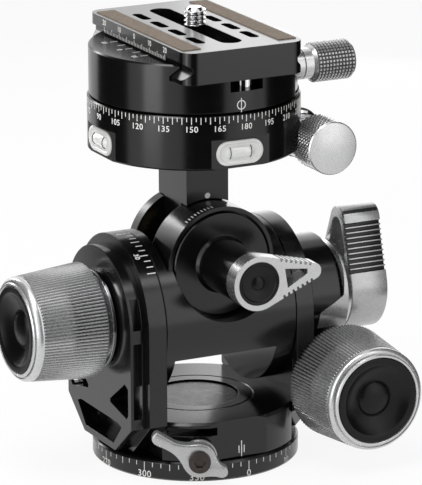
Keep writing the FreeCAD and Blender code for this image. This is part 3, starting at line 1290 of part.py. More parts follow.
for across in (-1, 1):
    for along in (-1, 1):
        plan_parts.append(rod(f"plan_{across + 1}_{along + 1}", "plate_corner", "plate_h", "z",
                              (f"{across} * (plate_half - plate_corner)",
                               f"{along} * (plate_len / 2 - plate_corner) - plate_y", PLATE_Z)))
plate_body = common("plate_body", [plate_bar, fuse("plate_plan", plan_parts)])


def long_slot(label, x, y, half, length, low, high):
    """A slot along Y with round ends."""
    parts = [block(label + "_middle", (f"2 * {half}", f"{length} - 2 * {half}", high),
                   (f"{x} - {half}", f"{y} - {length} / 2 + {half}", low))]
    for end in (-1, 1):
        parts.append(rod(f"{label}_end_{end + 1}", half, high, "z",
                         (x, f"{y} + {end} * ({length} / 2 - {half})", low)))
    return parts


plate_cuts = long_slot("slot", "0", "-plate_y", "plate_slot_r", "plate_slot_len", PLATE_Z, "plate_h")
plate_cuts += long_slot("counter", "0", "-plate_y", "counter_half",
                        "(plate_slot_len + 2 * counter_half - 2 * plate_slot_r)", PLATE_Z, "counter_deep")
for across in (-1, 1):
    for i in range(int(size("small_slots"))):
        step = i - (size("small_slots") - 1) / 2
        plate_cuts += long_slot(f"small_{across + 1}_{i}", f"{across} * small_slot_x",
                                f"-plate_y + {step} * small_slot_pitch", "small_slot_r",
                                "small_slot_len", PLATE_Z, "plate_h")
GRIP_Z = f"{PLATE_Z} + plate_h - grip_h + grip_proud"
grip_places = {
    "left_grip": "grip_in - plate_half",
    "right_grip": "plate_half - grip_in - grip_w",
}
for name, low in grip_places.items():
    plate_cuts.append(block(name + "_room", ("grip_w + 2 * seat", "grip_len + 2 * seat", "grip_h + 1"),
                            (f"{low} - seat", "-plate_y - grip_len / 2 - seat", GRIP_Z)))
    node(name, block(name, ("grip_w", "grip_len", "grip_h"), (low, "-plate_y - grip_len / 2", GRIP_Z)))
node("camera_plate", cut("plate_cut", plate_body, plate_cuts))

stud = turned("stud_blank", "z", [
    ("0", "seam"),
    ("stud_head_r", "seam"),
    ("stud_head_r", "seam + stud_head_h"),
    ("stud_neck_r", "seam + stud_head_h"),
    ("stud_neck_r", "plate_h + grip_proud"),
    ("stud_r", "plate_h + grip_proud"),
    ("stud_r", "plate_h + stud_h - knob_edge"),
    ("stud_r - knob_edge", "plate_h + stud_h"),
    ("0", "plate_h + stud_h"),
], at=("0", "-plate_y", PLATE_Z))
coin = block("coin_slot", ("2 * stud_head_r", "coin_w", "coin_deep"),
             ("-stud_head_r", "-plate_y - coin_w / 2", f"{PLATE_Z} + seam"))
node("camera_screw", cut("stud_cut", stud, [coin]))

# ---------------------------------------------------------------- base lock

# local x across to the right, y up, z outwards, turned to the front left of the base
OUTWARD = Rotation(Vector(0, 0, 1), -size("lock_turn")).multiply(Rotation(Vector(1, 0, 0), 90))
BRAKE = Placement(Vector(0, 0, size("brake_z")), OUTWARD)


def outward(label, shape):
    shape.Placement = BRAKE.multiply(shape.Placement)
    return solid_node(label, shape)


def disc_at(radius, low, high):
    return Part.makeCylinder(radius, high - low, Vector(0, 0, low))


def moved(shape, low):
    shape.translate(Vector(0, 0, low))
    return shape


hub_low = size("brake_hub_at")
lever_low = hub_low + size("brake_hub_w")
lever_top = lever_low + size("lever_w")
lever = disc_at(size("brake_hub_r"), hub_low, lever_low)
lever = lever.fuse(disc_at(size("lever_r"), lever_low, lever_top))
lever = lever.fuse(moved(tapered_link((0, 0), size("lever_r"), (-size("lever_arm"), size("lever_rise")),
                                      size("lever_tip_r"), size("lever_w")), lever_low))
lever = lever.fuse(moved(tapered_link((0, 0), size("lever_r"), (size("tail_arm"), -size("tail_fall")),
                                      size("tail_r"), size("lever_w")), lever_low))
lever = lever.cut(disc_at(size("brake_r") + seat, hub_low, lever_top)).removeSplitter()
outward("base_lock_lever", lever)
outward("base_lock_screw", disc_at(size("brake_r"), size("brake_in"), size("brake_out")))
cap_screw = disc_at(size("lever_screw_r"), lever_top + seat, lever_top + size("lever_screw_w"))
cap_screw = cap_screw.fuse(disc_at(size("brake_r"), size("brake_out") + seat, lever_top + seat))
hexagon = prism([(size("hex_r") * math.cos(math.tau * i / 6), size("hex_r") * math.sin(math.tau * i / 6))
                 for i in range(6)], size("lever_screw_w"))
cap_screw = cap_screw.cut(moved(hexagon, lever_top + 2 * seam))
outward("lever_cap_screw", cap_screw)
outward("brake_shoe", disc_at(size("brake_r"), size("spigot_r") + size("slip"),
                              size("spigot_r") + size("slip") + size("shoe_w")))

# ---------------------------------------------------------------- check and write

doc.recompute()
for item in doc.Objects:
    if {"Invalid", "Error"} & set(item.State):
        raise ValueError(f"{item.Label} did not rebuild: {item.State}")
for label, item in nodes.items():
    shape = item.Shape
    if shape.isNull() or not shape.isValid() or not shape.Solids:
        raise ValueError(f"{label} has no valid solid")
    shape.exportStep(f"parts/{label}.step")
print(len(nodes), "nodes")
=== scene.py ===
"""Finish of the geared tripod head: materials, knurls, threads, scales and studio.

Every length is written in millimetres and turned to metres where a mesh is made.
"""

import json
import logging
import math
from dataclasses import dataclass, field
from enum import Enum
from typing import Any, Iterable, Sequence

import bmesh
import bpy
from bpy.types import Curve, GeometryNodeTree, Material, Mesh, Node, NodeSocket, NodeTree, Object
from mathutils import Matrix, Vector

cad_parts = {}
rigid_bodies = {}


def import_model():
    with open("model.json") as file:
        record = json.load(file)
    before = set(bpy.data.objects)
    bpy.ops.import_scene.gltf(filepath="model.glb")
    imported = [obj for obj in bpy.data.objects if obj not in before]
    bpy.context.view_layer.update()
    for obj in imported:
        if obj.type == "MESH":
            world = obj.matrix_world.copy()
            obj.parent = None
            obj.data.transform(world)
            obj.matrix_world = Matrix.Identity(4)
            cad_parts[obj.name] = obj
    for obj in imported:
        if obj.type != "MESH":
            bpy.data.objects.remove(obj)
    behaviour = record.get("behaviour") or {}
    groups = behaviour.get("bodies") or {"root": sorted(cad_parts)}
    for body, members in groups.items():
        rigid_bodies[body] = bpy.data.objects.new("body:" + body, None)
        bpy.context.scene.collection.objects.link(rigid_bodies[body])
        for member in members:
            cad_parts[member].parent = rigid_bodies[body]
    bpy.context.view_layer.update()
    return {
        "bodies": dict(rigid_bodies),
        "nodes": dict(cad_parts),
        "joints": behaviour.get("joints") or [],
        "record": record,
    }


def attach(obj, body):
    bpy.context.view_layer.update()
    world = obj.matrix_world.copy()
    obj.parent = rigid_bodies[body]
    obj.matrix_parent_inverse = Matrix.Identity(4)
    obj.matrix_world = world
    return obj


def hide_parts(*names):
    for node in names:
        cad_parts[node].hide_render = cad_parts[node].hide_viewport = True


MM = 0.001
LOG = logging.getLogger("tripod_head")
SHARP_ANGLE = math.radians(32)
# points closer than this, in metres, are one point
MERGE = 1e-7
MATH = "ShaderNodeMath"


# ---------------------------------------------------------------- small helpers


def linear(colour: str) -> tuple[float, float, float, float]:
    """Turns an sRGB hex colour to linear RGBA.

    Args:
        colour: the colour as "#rrggbb".

    Returns:
        The four linear channels, with full alpha.
    """
    channels = [int(colour[i : i + 2], 16) / 255 for i in (1, 3, 5)]
    low = [c / 12.92 if c <= 0.04045 else ((c + 0.055) / 1.055) ** 2.4 for c in channels]
    return (low[0], low[1], low[2], 1.0)


def add_node(tree: NodeTree, kind: str, inputs: dict | None = None, **settings: Any) -> Node:
    """Adds a node with its settings, values and links.

    Args:
        tree: the tree that gets the node.
        kind: the node's type name.
        inputs: input name or index to a value, or to the socket that feeds it.
        **settings: attributes of the node.

    Returns:
        The new node.
    """
    node = tree.nodes.new(kind)
    for name, value in settings.items():
        setattr(node, name, value)
    for key, value in (inputs or {}).items():
        if isinstance(value, NodeSocket):
            tree.links.new(value, node.inputs[key])
        else:
            node.inputs[key].default_value = value
    return node


class Axis(Enum):
    """The direction that a turned piece points in, from its back to its front."""

    FRONT = (0.0, -1.0, 0.0)
    LEFT = (-1.0, 0.0, 0.0)
    RIGHT = (1.0, 0.0, 0.0)
    UP = (0.0, 0.0, 1.0)

    def vector(self) -> Vector:
        """Gives the direction as a vector."""
        return Vector(self.value)

    def basis(self) -> tuple[Vector, Vector]:
        """Gives two directions square to this one, right-handed with it.

        Returns:
            The two unit vectors.
        """
        forward = self.vector()
        side = Vector((0, 0, 1)).cross(forward) if abs(forward.z) < 0.5 else Vector((1, 0, 0))
        side.normalize()
        return side, forward.cross(side)


def object_from(name: str, data: Mesh | Curve) -> Object:
    """Makes an object at the origin and links it to the scene.

    Args:
        name: the object's name.
        data: its mesh, already in place, or the curve that a mesh is made from.

    Returns:
        The object.
    """
    obj = bpy.data.objects.new(name, data)
    bpy.context.scene.collection.objects.link(obj)
    return obj


def evaluated(obj: Object) -> Mesh:
    """Gives a plain mesh of an object with its curve or modifiers worked out."""
    graph = bpy.context.evaluated_depsgraph_get()
    return bpy.data.meshes.new_from_object(obj.evaluated_get(graph))


def shade(mesh: Mesh) -> None:
    """Merges, turns faces outwards, and shades smooth between sharp edges.

    Args:
        mesh: the mesh that is changed.
    """
    bm = bmesh.new()
    bm.from_mesh(mesh)
    bmesh.ops.remove_doubles(bm, verts=bm.verts, dist=MERGE)
    bmesh.ops.dissolve_degenerate(bm, edges=bm.edges, dist=MERGE)
    bmesh.ops.recalc_face_normals(bm, faces=bm.faces)
    for face in bm.faces:
        face.smooth = True
    for edge in bm.edges:
        edge.smooth = len(edge.link_faces) == 2 and edge.calc_face_angle(0.0) < SHARP_ANGLE
    bm.to_mesh(mesh)
    bm.free()


def mesh_from(name: str, points: Iterable[Vector], faces: Iterable[Sequence[int]]) -> Mesh:
    """Makes a shaded mesh from points in millimetres.

    Args:
        name: the mesh's name.
        points: the vertices, in millimetres.
        faces: the faces, as vertex numbers.

    Returns:
        The mesh, in metres.
    """
    mesh = bpy.data.meshes.new(name)
    mesh.from_pydata([Vector(p) * MM for p in points], [], [tuple(f) for f in faces])
    shade(mesh)
    return mesh


def joined(name: str, objects: Sequence[Object]) -> Object:
    """Joins mesh objects into one, with their materials.

    Args:
        name: the name of the result.
        objects: the objects, which are used up.

    Returns:
        One object at the origin.
    """
    first, rest = objects[0], objects[1:]
    if rest:
        chosen = list(objects)
        with bpy.context.temp_override(active_object=first, selected_editable_objects=chosen):
            bpy.ops.object.join()
    first.name = name
    first.data.name = name
    return first


@dataclass(frozen=True)
class Ring:
    """One station of a turned profile.

    Attributes:
        radius: its radius.
        reach: its place along the axis, from the piece's back.
    """

    radius: float
    reach: float


def turned(
    name: str, rings: Sequence[Ring], origin: Sequence[float], axis: Axis, segments: int
) -> Mesh:
    """Turns a profile round an axis.

    Args:
        name: the mesh's name.
        rings: the stations from the back to the front; a radius of 0 is a pole.
        origin: the point that reach is measured from.
        axis: the direction of reach.
        segments: faces round the axis.

    Returns:
        A closed mesh in metres.
    """
    side, other = axis.basis()
    forward, start = axis.vector(), Vector(origin)
    points: list[Vector] = []
    faces: list[tuple[int, ...]] = []
    loops: list[list[int]] = []
    for ring in rings:
        centre = start + forward * ring.reach
        if ring.radius == 0:
            loops.append([len(points)])
            points.append(centre)
            continue
        loop = []
        for i in range(segments):
            angle = 2 * math.pi * i / segments
            spoke = side * math.cos(angle) + other * math.sin(angle)
            loop.append(len(points))
            points.append(centre + spoke * ring.radius)
        loops.append(loop)
    for low, high in zip(loops, loops[1:]):
        for i in range(segments):
            j = (i + 1) % segments
            if len(low) == 1:
                faces.append((low[0], high[j], high[i]))
            elif len(high) == 1:
                faces.append((low[i], low[j], high[0]))
            else:
                faces.append((low[i], low[j], high[j], high[i]))
    return mesh_from(name, points, faces)


@dataclass(frozen=True)
class Face:
    """A flat or round face that marks are laid on.

    Attributes:
        centre: a point on the face, or on the axis of a round one.
        up: the unit vector that a mark's top points to.
        out: the unit vector out of the face at its middle.
        radius: the radius of a round face, whose axis is up, or 0.
    """

    centre: tuple[float, float, float]
    up: tuple[float, float, float]
    out: tuple[float, float, float]
    radius: float = 0.0

    def right(self) -> Vector:
        """Gives the direction to the right on the face."""
        return Vector(self.up).cross(Vector(self.out))

    def spot(self, across: float, above: float, proud: float) -> Vector:
        """Gives a point near the face, relative to its centre.

        Args:
            across: the distance to the right, along the face.
            above: the distance up.
            proud: the height above the face.

        Returns:
            The point in millimetres.
        """
        up, out = Vector(self.up), Vector(self.out)
        if not self.radius:
            return self.right() * across + up * above + out * proud
        angle = across / self.radius
        spoke = out * math.cos(angle) + self.right() * math.sin(angle)
        return up * above + spoke * (self.radius + proud)


# a figure's height as a share of the font's size, the space between figures, and the
# millimetres that thicken their strokes
FIGURE_SHARE = 0.7
FIGURE_SPACE = 1.08
FIGURE_BOLD = 0.02

# how far a mark's fill reaches into the face and above it
FILL_DEEP = 0.05
FILL_PROUD = 0.03

Block = tuple[list[Vector], list[tuple[int, ...]]]


def bar(face: Face, across: float, low: float, high: float, width: float) -> Block:
    """Makes one filled engraved line, relative to the face's centre.

    Args:
        face: the face that it lies on.
        across: the middle of the line, to the right.
        low: its lower end.
        high: its upper end.
        width: its width.

    Returns:
        The corners and the faces of a thin block.
    """
    points = [
        face.spot(across + side * width / 2, height, proud)
        for proud in (-FILL_DEEP, FILL_PROUD)
        for side, height in ((-1, low), (1, low), (1, high), (-1, high))
    ]
    faces = [(3, 2, 1, 0), (4, 5, 6, 7), (0, 1, 5, 4), (1, 2, 6, 5), (2, 3, 7, 6), (3, 0, 4, 7)]
    return points, faces


# ---------------------------------------------------------------- geometry nodes


@dataclass
class RepeatTree:
    """Geometry Nodes that repeat one shape round an axis and along a line."""

    name: str = "repeat_round_and_along"

    def tree(self) -> GeometryNodeTree:
        """Builds the tree, or finds it.

        Returns:
            The node tree, with named inputs.
        """
        if self.name in bpy.data.node_groups:
            return bpy.data.node_groups[self.name]
        tree = bpy.data.node_groups.new(self.name, "GeometryNodeTree")
        for label, kind in (
            ("Geometry", "NodeSocketGeometry"),
            ("Centre", "NodeSocketVector"),
            ("Axis", "NodeSocketVector"),
            ("Start Angle", "NodeSocketFloat"),
            ("Turn Step", "NodeSocketFloat"),
            ("Turn Count", "NodeSocketInt"),
            ("Row Step", "NodeSocketVector"),
            ("Row Count", "NodeSocketInt"),
            ("Row Stagger", "NodeSocketFloat"),
            ("Finish", "NodeSocketMaterial"),
        ):
            tree.interface.new_socket(label, in_out="INPUT", socket_type=kind)
        tree.interface.new_socket("Geometry", in_out="OUTPUT", socket_type="NodeSocketGeometry")
        given = add_node(tree, "NodeGroupInput").outputs
        index = add_node(tree, "GeometryNodeInputIndex").outputs[0]
        around, rows = given["Turn Count"], given["Row Count"]
        total = add_node(tree, MATH, {0: around, 1: rows}, operation="MULTIPLY").outputs[0]
        place = add_node(tree, MATH, {0: index, 1: around}, operation="DIVIDE").outputs[0]
        row = add_node(tree, MATH, {0: place}, operation="FLOOR").outputs[0]
        column = add_node(tree, MATH, {0: index, 1: around}, operation="MODULO").outputs[0]
        odd = add_node(tree, MATH, {0: row, 1: 2.0}, operation="MODULO").outputs[0]
        shift = {0: odd, 1: given["Row Stagger"], 2: column}
        shifted = add_node(tree, MATH, shift, operation="MULTIPLY_ADD").outputs[0]
        swing = {0: shifted, 1: given["Turn Step"], 2: given["Start Angle"]}
        angle = add_node(tree, MATH, swing, operation="MULTIPLY_ADD").outputs[0]
        turn = add_node(
            tree, "FunctionNodeAxisAngleToRotation", {"Axis": given["Axis"], "Angle": angle}
        ).outputs[0]
        spread = add_node(
            tree, "ShaderNodeVectorMath", {0: given["Row Step"], "Scale": row}, operation="SCALE"
        ).outputs[0]
        spot = add_node(
            tree, "ShaderNodeVectorMath", {0: given["Centre"], 1: spread}, operation="ADD"
        ).outputs[0]
        points = add_node(tree, "GeometryNodePoints", {"Count": total, "Position": spot}).outputs[0]
        copies = add_node(
            tree,
            "GeometryNodeInstanceOnPoints",
            {"Points": points, "Instance": given["Geometry"], "Rotation": turn},
        ).outputs[0]
        real = add_node(tree, "GeometryNodeRealizeInstances", {"Geometry": copies}).outputs[0]
        dressed = add_node(
            tree, "GeometryNodeSetMaterial", {"Geometry": real, "Material": given["Finish"]}
        ).outputs[0]
        add_node(tree, "NodeGroupOutput", {"Geometry": dressed})
        return tree


@dataclass(frozen=True)
class Repeat:
    """How a shape is repeated.

    Attributes:
        centre: the point that the shape's own mesh is measured from.
        axis: the axis that it is turned round.
        start: the first angle in degrees.
        turn: the angle between copies in degrees.
        around: copies round the axis.
        step: the vector between rows.
        rows: rows along that vector.
        stagger: the shift of odd rows, as a share of the turn.
    """

    centre: tuple[float, float, float]
    axis: tuple[float, float, float] = (0.0, 0.0, 1.0)
    start: float = 0.0
    turn: float = 0.0
    around: int = 1
    step: tuple[float, float, float] = (0.0, 0.0, 0.0)
    rows: int = 1
    stagger: float = 0.0

    def build(self, name: str, shape: Mesh, finish: Material) -> Object:
        """Repeats a shape and turns the result to one plain mesh.

        Args:
            name: the name of the result.
            shape: the shape, in metres from the centre.
            finish: its material.

        Returns:
            An object at the origin, without modifiers.
        """
        tree = RepeatTree().tree()
        shape.materials.clear()
        shape.materials.append(finish)
        obj = object_from(name, shape)
        modifier = obj.modifiers.new("repeat", "NODES")
        modifier.node_group = tree
        values = {
            "Centre": tuple(v * MM for v in self.centre),
            "Axis": self.axis,
            "Start Angle": math.radians(self.start),
            "Turn Step": math.radians(self.turn),
            "Turn Count": self.around,
            "Row Step": tuple(v * MM for v in self.step),
            "Row Count": self.rows,
            "Row Stagger": self.stagger,
            "Finish": finish,
        }
        for item in tree.interface.items_tree:
            if item.in_out == "INPUT" and item.name in values:
                modifier[item.identifier] = values[item.name]
        bpy.context.view_layer.update()
        result = evaluated(obj)
        obj.modifiers.clear()
        obj.data = result
        result.name = name
        return obj


# ---------------------------------------------------------------- finishes


def uneven(tree: NodeTree, grain: float) -> NodeSocket:
    """Gives a soft random unevenness that is fixed to the piece.

    Args:
        tree: the material's tree.
        grain: the size of one grain in millimetres.

    Returns:
        The pattern, from 0 to 1.
    """
    # Object coordinates follow the CAD frame in metres
    place = add_node(tree, "ShaderNodeTexCoord").outputs["Object"]
    fine = {"Vector": place, "Scale": 1 / (grain * MM), "Detail": 2.0, "Roughness": 0.55}
    return add_node(tree, "ShaderNodeTexNoise", fine).outputs[0]


def patchy(tree: NodeTree, grain: float, low: float, high: float) -> NodeSocket:
    """Gives patches over the piece whose value runs from low to high.

    Args:
        tree: the material's tree.
        grain: the size of one patch in millimetres.
        low: the value of a low patch.
        high: the value of a high one.

    Returns:
        The value over the surface.
    """
    # most of the unevenness lies between 0.3 and 0.7
    spread = {"From Min": 0.3, "From Max": 0.7, "To Min": low, "To Max": high}
    spread["Value"] = uneven(tree, grain)
    return add_node(tree, "ShaderNodeMapRange", spread).outputs[0]


# the Mix node's sockets that are in use when it mixes colours
MIX_SHARE, MIX_FIRST, MIX_SECOND, MIX_COLOUR = 0, 6, 7, 2

# the patches of colour and of roughness, measured in grains
COLOUR_GRAINS = 14
ROUGH_GRAINS = 9


@dataclass(frozen=True)
class Finish:
    """A finish that every kind below starts from.

    Attributes:
        name: the material's name.
        colour: its main colour.
        shade: the colour that its pattern mixes in.
        metallic: how metallic it is.
        rough: its roughness, low and high.
        grain: the size of its surface grain in millimetres.
        relief: the height of that grain in millimetres, or 0 for none.
        rounding: the radius that its edges seem to have in millimetres, or 0 for none.
    """

    name: str
    colour: str
    shade: str
    metallic: float = 0.0
    rough: tuple[float, float] = (0.3, 0.4)
    grain: float = 0.4
    relief: float = 0.01
    rounding: float = 0.25

    def settings(self) -> dict[str, Any]:
        """Gives the shader's further plain settings."""
        return {}

    def toned(self, tree: NodeTree, share: NodeSocket, other: str) -> NodeSocket:
        """Gives the main colour with another mixed in.

        Args:
            tree: the material's tree.
            share: the share of the other colour over the surface.
            other: the other colour.

        Returns:
            The colour socket.
        """
        tones = {MIX_SHARE: share, MIX_FIRST: linear(self.colour), MIX_SECOND: linear(other)}
        return add_node(tree, "ShaderNodeMix", tones, data_type="RGBA").outputs[MIX_COLOUR]

    def colouring(self, tree: NodeTree) -> NodeSocket:
        """Gives the colour over the surface.

        Args:
            tree: the material's tree.

        Returns:
            The colour socket.
        """
        share = patchy(tree, self.grain * COLOUR_GRAINS, 0.0, 1.0)
        return self.toned(tree, share, self.shade)

    def height(self, tree: NodeTree) -> NodeSocket:
        """Gives the relief over the surface, from 0 to 1.

        Args:
            tree: the material's tree.

        Returns:
            The height socket.
        """
        return uneven(tree, self.grain)

    def material(self) -> Material:
        """Builds the material, or finds it.

        Returns:
            The node-based material.
        """
        if self.name in bpy.data.materials:
            return bpy.data.materials[self.name]
        made = bpy.data.materials.new(self.name)
        made.use_nodes = True
        tree = made.node_tree
        tree.nodes.clear()
        normal: dict[str, Any] = {}
        if self.rounding:
            edge = {"Radius": self.rounding * MM}
            normal["Normal"] = add_node(tree, "ShaderNodeBevel", edge, samples=4).outputs[0]
        if self.relief:
            grain = {"Height": self.height(tree), "Distance": self.relief * MM, **normal}
            normal["Normal"] = add_node(tree, "ShaderNodeBump", grain).outputs[0]
        shader = add_node(
            tree,
            "ShaderNodeBsdfPrincipled",
            {
                "Base Color": self.colouring(tree),
                "Roughness": patchy(tree, self.grain * ROUGH_GRAINS, *self.rough),
                "Metallic": self.metallic,
                **normal,
                **self.settings(),
            },
        )
        add_node(tree, "ShaderNodeOutputMaterial", {"Surface": shader.outputs[0]})
        return made


@dataclass(frozen=True)
class BlackAnodised(Finish):
    """Aluminium, fine bead-blasted and anodised black: deep black with a broad soft sheen.

    Attributes:
        specular: how strong that sheen is.
    """

    specular: float = 0.45

    def settings(self) -> dict[str, Any]:
        """Gives the sheen's strength."""
        return {"Specular IOR Level": self.specular, "IOR": 1.5}


@dataclass(frozen=True)
class TwoTonePlate(BlackAnodised):
    """Black anodised plate, coloured grey on its top face and black on its sides.

    Attributes:
        top: the height of the top face in millimetres.
        bright: the colour of the top face.
    """

    top: float = 129.2
    bright: str = "#868686"

    def colouring(self, tree: NodeTree) -> NodeSocket:
        """Gives black below the top face and grey on it.

        Args:
            tree: the material's tree.

        Returns:
            The colour socket.
        """
        place = add_node(tree, "ShaderNodeTexCoord").outputs["Object"]
        height = add_node(tree, "ShaderNodeSeparateXYZ", {0: place}).outputs["Z"]
        limits = {0: height, 1: (self.top - 0.06) * MM}
        above = add_node(tree, MATH, limits, operation="GREATER_THAN").outputs[0]
        return self.toned(tree, above, self.bright)


@dataclass(frozen=True)
class SatinAluminium(Finish):
    """Aluminium, turned, blasted and clear anodised: a pale grey with a soft metallic sheen."""


@dataclass(frozen=True)
class TurnedAluminium(Finish):
    """Aluminium faced on a lathe: fine rings round the axis break the light in arcs.

    Attributes:
        centre: a point on the axis in millimetres.
        rings: the pitch of the tool marks in millimetres, drawn coarser than the real 0.05 to show.
    """

    centre: tuple[float, float, float] = (0.0, 0.0, 0.0)
    rings: float = 0.35

    def height(self, tree: NodeTree) -> NodeSocket:
        """Gives rings round the centre, broken a little by noise.

        Args:
            tree: the material's tree.

        Returns:
            The height socket.
        """
        place = add_node(tree, "ShaderNodeTexCoord").outputs["Object"]
        shift = {"Vector": place, "Location": tuple(-c * MM for c in self.centre)}
        moved = add_node(tree, "ShaderNodeMapping", shift).outputs[0]
        # a wave texture of scale 1 has a pitch of about 0.31 metres
        scale = 0.31 / (self.rings * MM)
        return add_node(
            tree,
            "ShaderNodeTexWave",
            {"Vector": moved, "Scale": scale, "Distortion": 0.4, "Detail": 1.0},
            wave_type="RINGS",
            rings_direction="SPHERICAL",
        ).outputs[1]


@dataclass(frozen=True)
class ChromePlate(Finish):
    """Bright chrome on polished steel: hard mirror-like highlights and dark reflections."""


@dataclass(frozen=True)
class TurnedSteel(Finish):
    """Plain steel from the lathe: darker and warmer than aluminium, with a tight gloss."""


@dataclass(frozen=True)
class GearBrass(Finish):
    """Cut gear brass: warm yellow with a soft worn gloss on the teeth."""


@dataclass(frozen=True)
class MouldedRubber(Finish):
    """Black rubber from an eroded mould: dead black, broad weak highlights, fine leathery grain."""

    def settings(self) -> dict[str, Any]:
        """Gives the rubber's weak gloss."""
        return {"Specular IOR Level": 0.22, "IOR": 1.52}


@dataclass(frozen=True)
class GripRubber(MouldedRubber):
    """Cork-filled rubber sheet: taupe with small darker and lighter granules, quite matt."""

    def colouring(self, tree: NodeTree) -> NodeSocket:
        """Gives granules of two tones.

        Args:
            tree: the material's tree.

        Returns:
            The colour socket.
        """
        place = add_node(tree, "ShaderNodeTexCoord").outputs["Object"]
        granules = {"Vector": place, "Scale": 1 / (self.grain * MM)}
        cells = add_node(tree, "ShaderNodeTexVoronoi", granules).outputs["Color"]
        tone = add_node(tree, "ShaderNodeSeparateXYZ", {0: cells}).outputs[0]
        return self.toned(tree, tone, self.shade)


@dataclass(frozen=True)
class BlackCloth(MouldedRubber):
    """Black flocked cloth on a card: it swallows nearly all light."""


@dataclass(frozen=True)
class MarkEnamel(Finish):
    """Enamel wiped into engraved marks: chalky, with a slightly uneven surface."""

    def settings(self) -> dict[str, Any]:
        """Gives the enamel's weak gloss."""
        return {"Specular IOR Level": 0.3}


@dataclass(frozen=True)
class MouldedAcrylic(Finish):
    """Clear acrylic over a white backing: milky white with a hard gloss and a wet edge light."""

    coat: float = 1.0

    def settings(self) -> dict[str, Any]:
        """Gives the acrylic's clear gloss over the white."""
        return {"Coat Weight": self.coat, "Coat Roughness": 0.03, "Coat IOR": 1.49, "IOR": 1.49}


BLACK = BlackAnodised(
    "black_anodised_aluminium", "#0a0a0b", "#0e0e0f", 0.0, (0.17, 0.21), 0.12, 0.0008, 0.3
)
PLATE = TwoTonePlate(
    "black_anodised_plate_grey_top", "#0b0b0c", "#0b0b0c", 0.0, (0.2, 0.24), 0.12, 0.0008, 0.25
)
SATIN = SatinAluminium(
    "clear_anodised_aluminium", "#c2c2c3", "#bdbdbe", 0.9, (0.24, 0.28), 0.12, 0.0004, 0.25
)
# knurled metal; the turned lips and faces beside it take a lighter copy of it, a painted sheen
KNOB = SatinAluminium(
    "knob_clear_anodised_aluminium", "#b4b4b5", "#afafb0", 0.6, (0.26, 0.3), 0.12, 0.0, 0.0
)
LEVER = SatinAluminium(
    "lever_clear_anodised_aluminium", "#b4b4b5", "#afafb0", 0.65, (0.24, 0.28), 0.12, 0.0004, 0.2
)
# a lighter copy of the knob metal for the turned lips and faces: painted sheen
KNOB_LIP_SHEEN = SatinAluminium(
    "knob_lip_painted_sheen_aluminium", "#cccccd", "#c7c7c8", 0.7, (0.24, 0.28), 0.12, 0.0, 0.0
)
# painted shade: the floor between ribs and in grooves is coloured dark for the shade that narrow
# grooves hold
KNURL_SHADE = SatinAluminium(
    "knurl_valley_painted_shade", "#39393a", "#343435", 0.6, (0.3, 0.36), 0.12, 0.0, 0.0
)
CHROME = ChromePlate("chrome_plated_steel", "#dcdcde", "#d2d2d4", 1.0, (0.05, 0.1), 0.5, 0.002, 0.2)
STEEL = TurnedSteel("turned_steel", "#a3a19d", "#97958f", 1.0, (0.2, 0.3), 0.3, 0.004, 0.15)
BRASS = GearBrass("gear_brass", "#b8934a", "#a5813d", 1.0, (0.22, 0.34), 0.3, 0.005, 0.1)
RUBBER = MouldedRubber(
    "moulded_black_rubber", "#070708", "#0a0a0b", 0.0, (0.3, 0.36), 0.25, 0.003, 0.3
)
GRIP = GripRubber("cork_rubber_grip", "#82766a", "#6d6258", 0.0, (0.7, 0.85), 0.35, 0.05, 0.2)
ENAMEL = MarkEnamel("white_mark_enamel", "#f0f0ee", "#e4e4e1", 0.0, (0.5, 0.65), 0.1, 0.01, 0.02)
SOCKET = TurnedSteel(
    "browned_steel_screw", "#4a4440", "#3d3835", 0.9, (0.3, 0.42), 0.2, 0.006, 0.15
)
VIAL_WHITE = MouldedAcrylic(
    "clear_acrylic_over_white", "#e4e4e2", "#d4d4d2", 0.0, (0.18, 0.25), 0.8, 0.01, 0.3
)
VIAL_TUBE = MouldedAcrylic(
    "clear_acrylic_tube", "#f0f1ee", "#dcdedb", 0.0, (0.05, 0.1), 1.2, 0.01, 0.1
)
VIAL_LINE = MarkEnamel("dark_line_enamel", "#4c4c4b", "#40403f", 0.0, (0.4, 0.5), 0.1, 0.01, 0.02)
FLAG = BlackCloth("black_flag_cloth", "#050505", "#060606", 0.0, (0.9, 1.0), 2.0, 0.0, 0.0)
DISC_FACE = TurnedAluminium(
    "faced_black_aluminium",
    "#161617",
    "#1e1e20",
    0.3,
    (0.25, 0.33),
    0.3,
    0.0015,
    0.2,
    centre=(0, 0, 17.5),
)

# the record's material slots, each with the finish that its solids get
NODE_FINISH: dict[str, Finish] = {
    "black_anodised": BLACK,
    "knob_grey": SATIN,
    "clamp_grey": SATIN,
    "black_rubber": RUBBER,
    "grip_rubber": GRIP,
    "chrome_trim": CHROME,
    "steel": STEEL,
    "gear_brass": BRASS,
    "vial": VIAL_WHITE,
    "socket_screw": SOCKET,
}


def dress(obj: Object, finish: Finish) -> None:
    """Gives every material slot of an object one finish.

    Args:
        obj: the object.
        finish: the finish.
    """
    if not obj.material_slots:
        obj.data.materials.append(finish.material())
    for place in obj.material_slots:
        place.material = finish.material()


def piece(name: str, mesh: Mesh, finish: Finish) -> Object:
    """Makes an object of one finish.

    Args:
        name: the object's name.
        mesh: its mesh, already in place.
        finish: its finish.

    Returns:
        The object.
    """
    made = object_from(name, mesh)
    dress(made, finish)
    return made


def report(obj: Object, body: str) -> Object:
    """Fastens a finished piece to its body and logs it.

    Args:
        obj: the piece.
        body: the body that it moves with.

    Returns:
        The piece.
    """
    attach(obj, body)
    LOG.info("%s rides on %s, %d faces", obj.name, body, len(obj.data.polygons))
    return obj


# ---------------------------------------------------------------- scales and marks


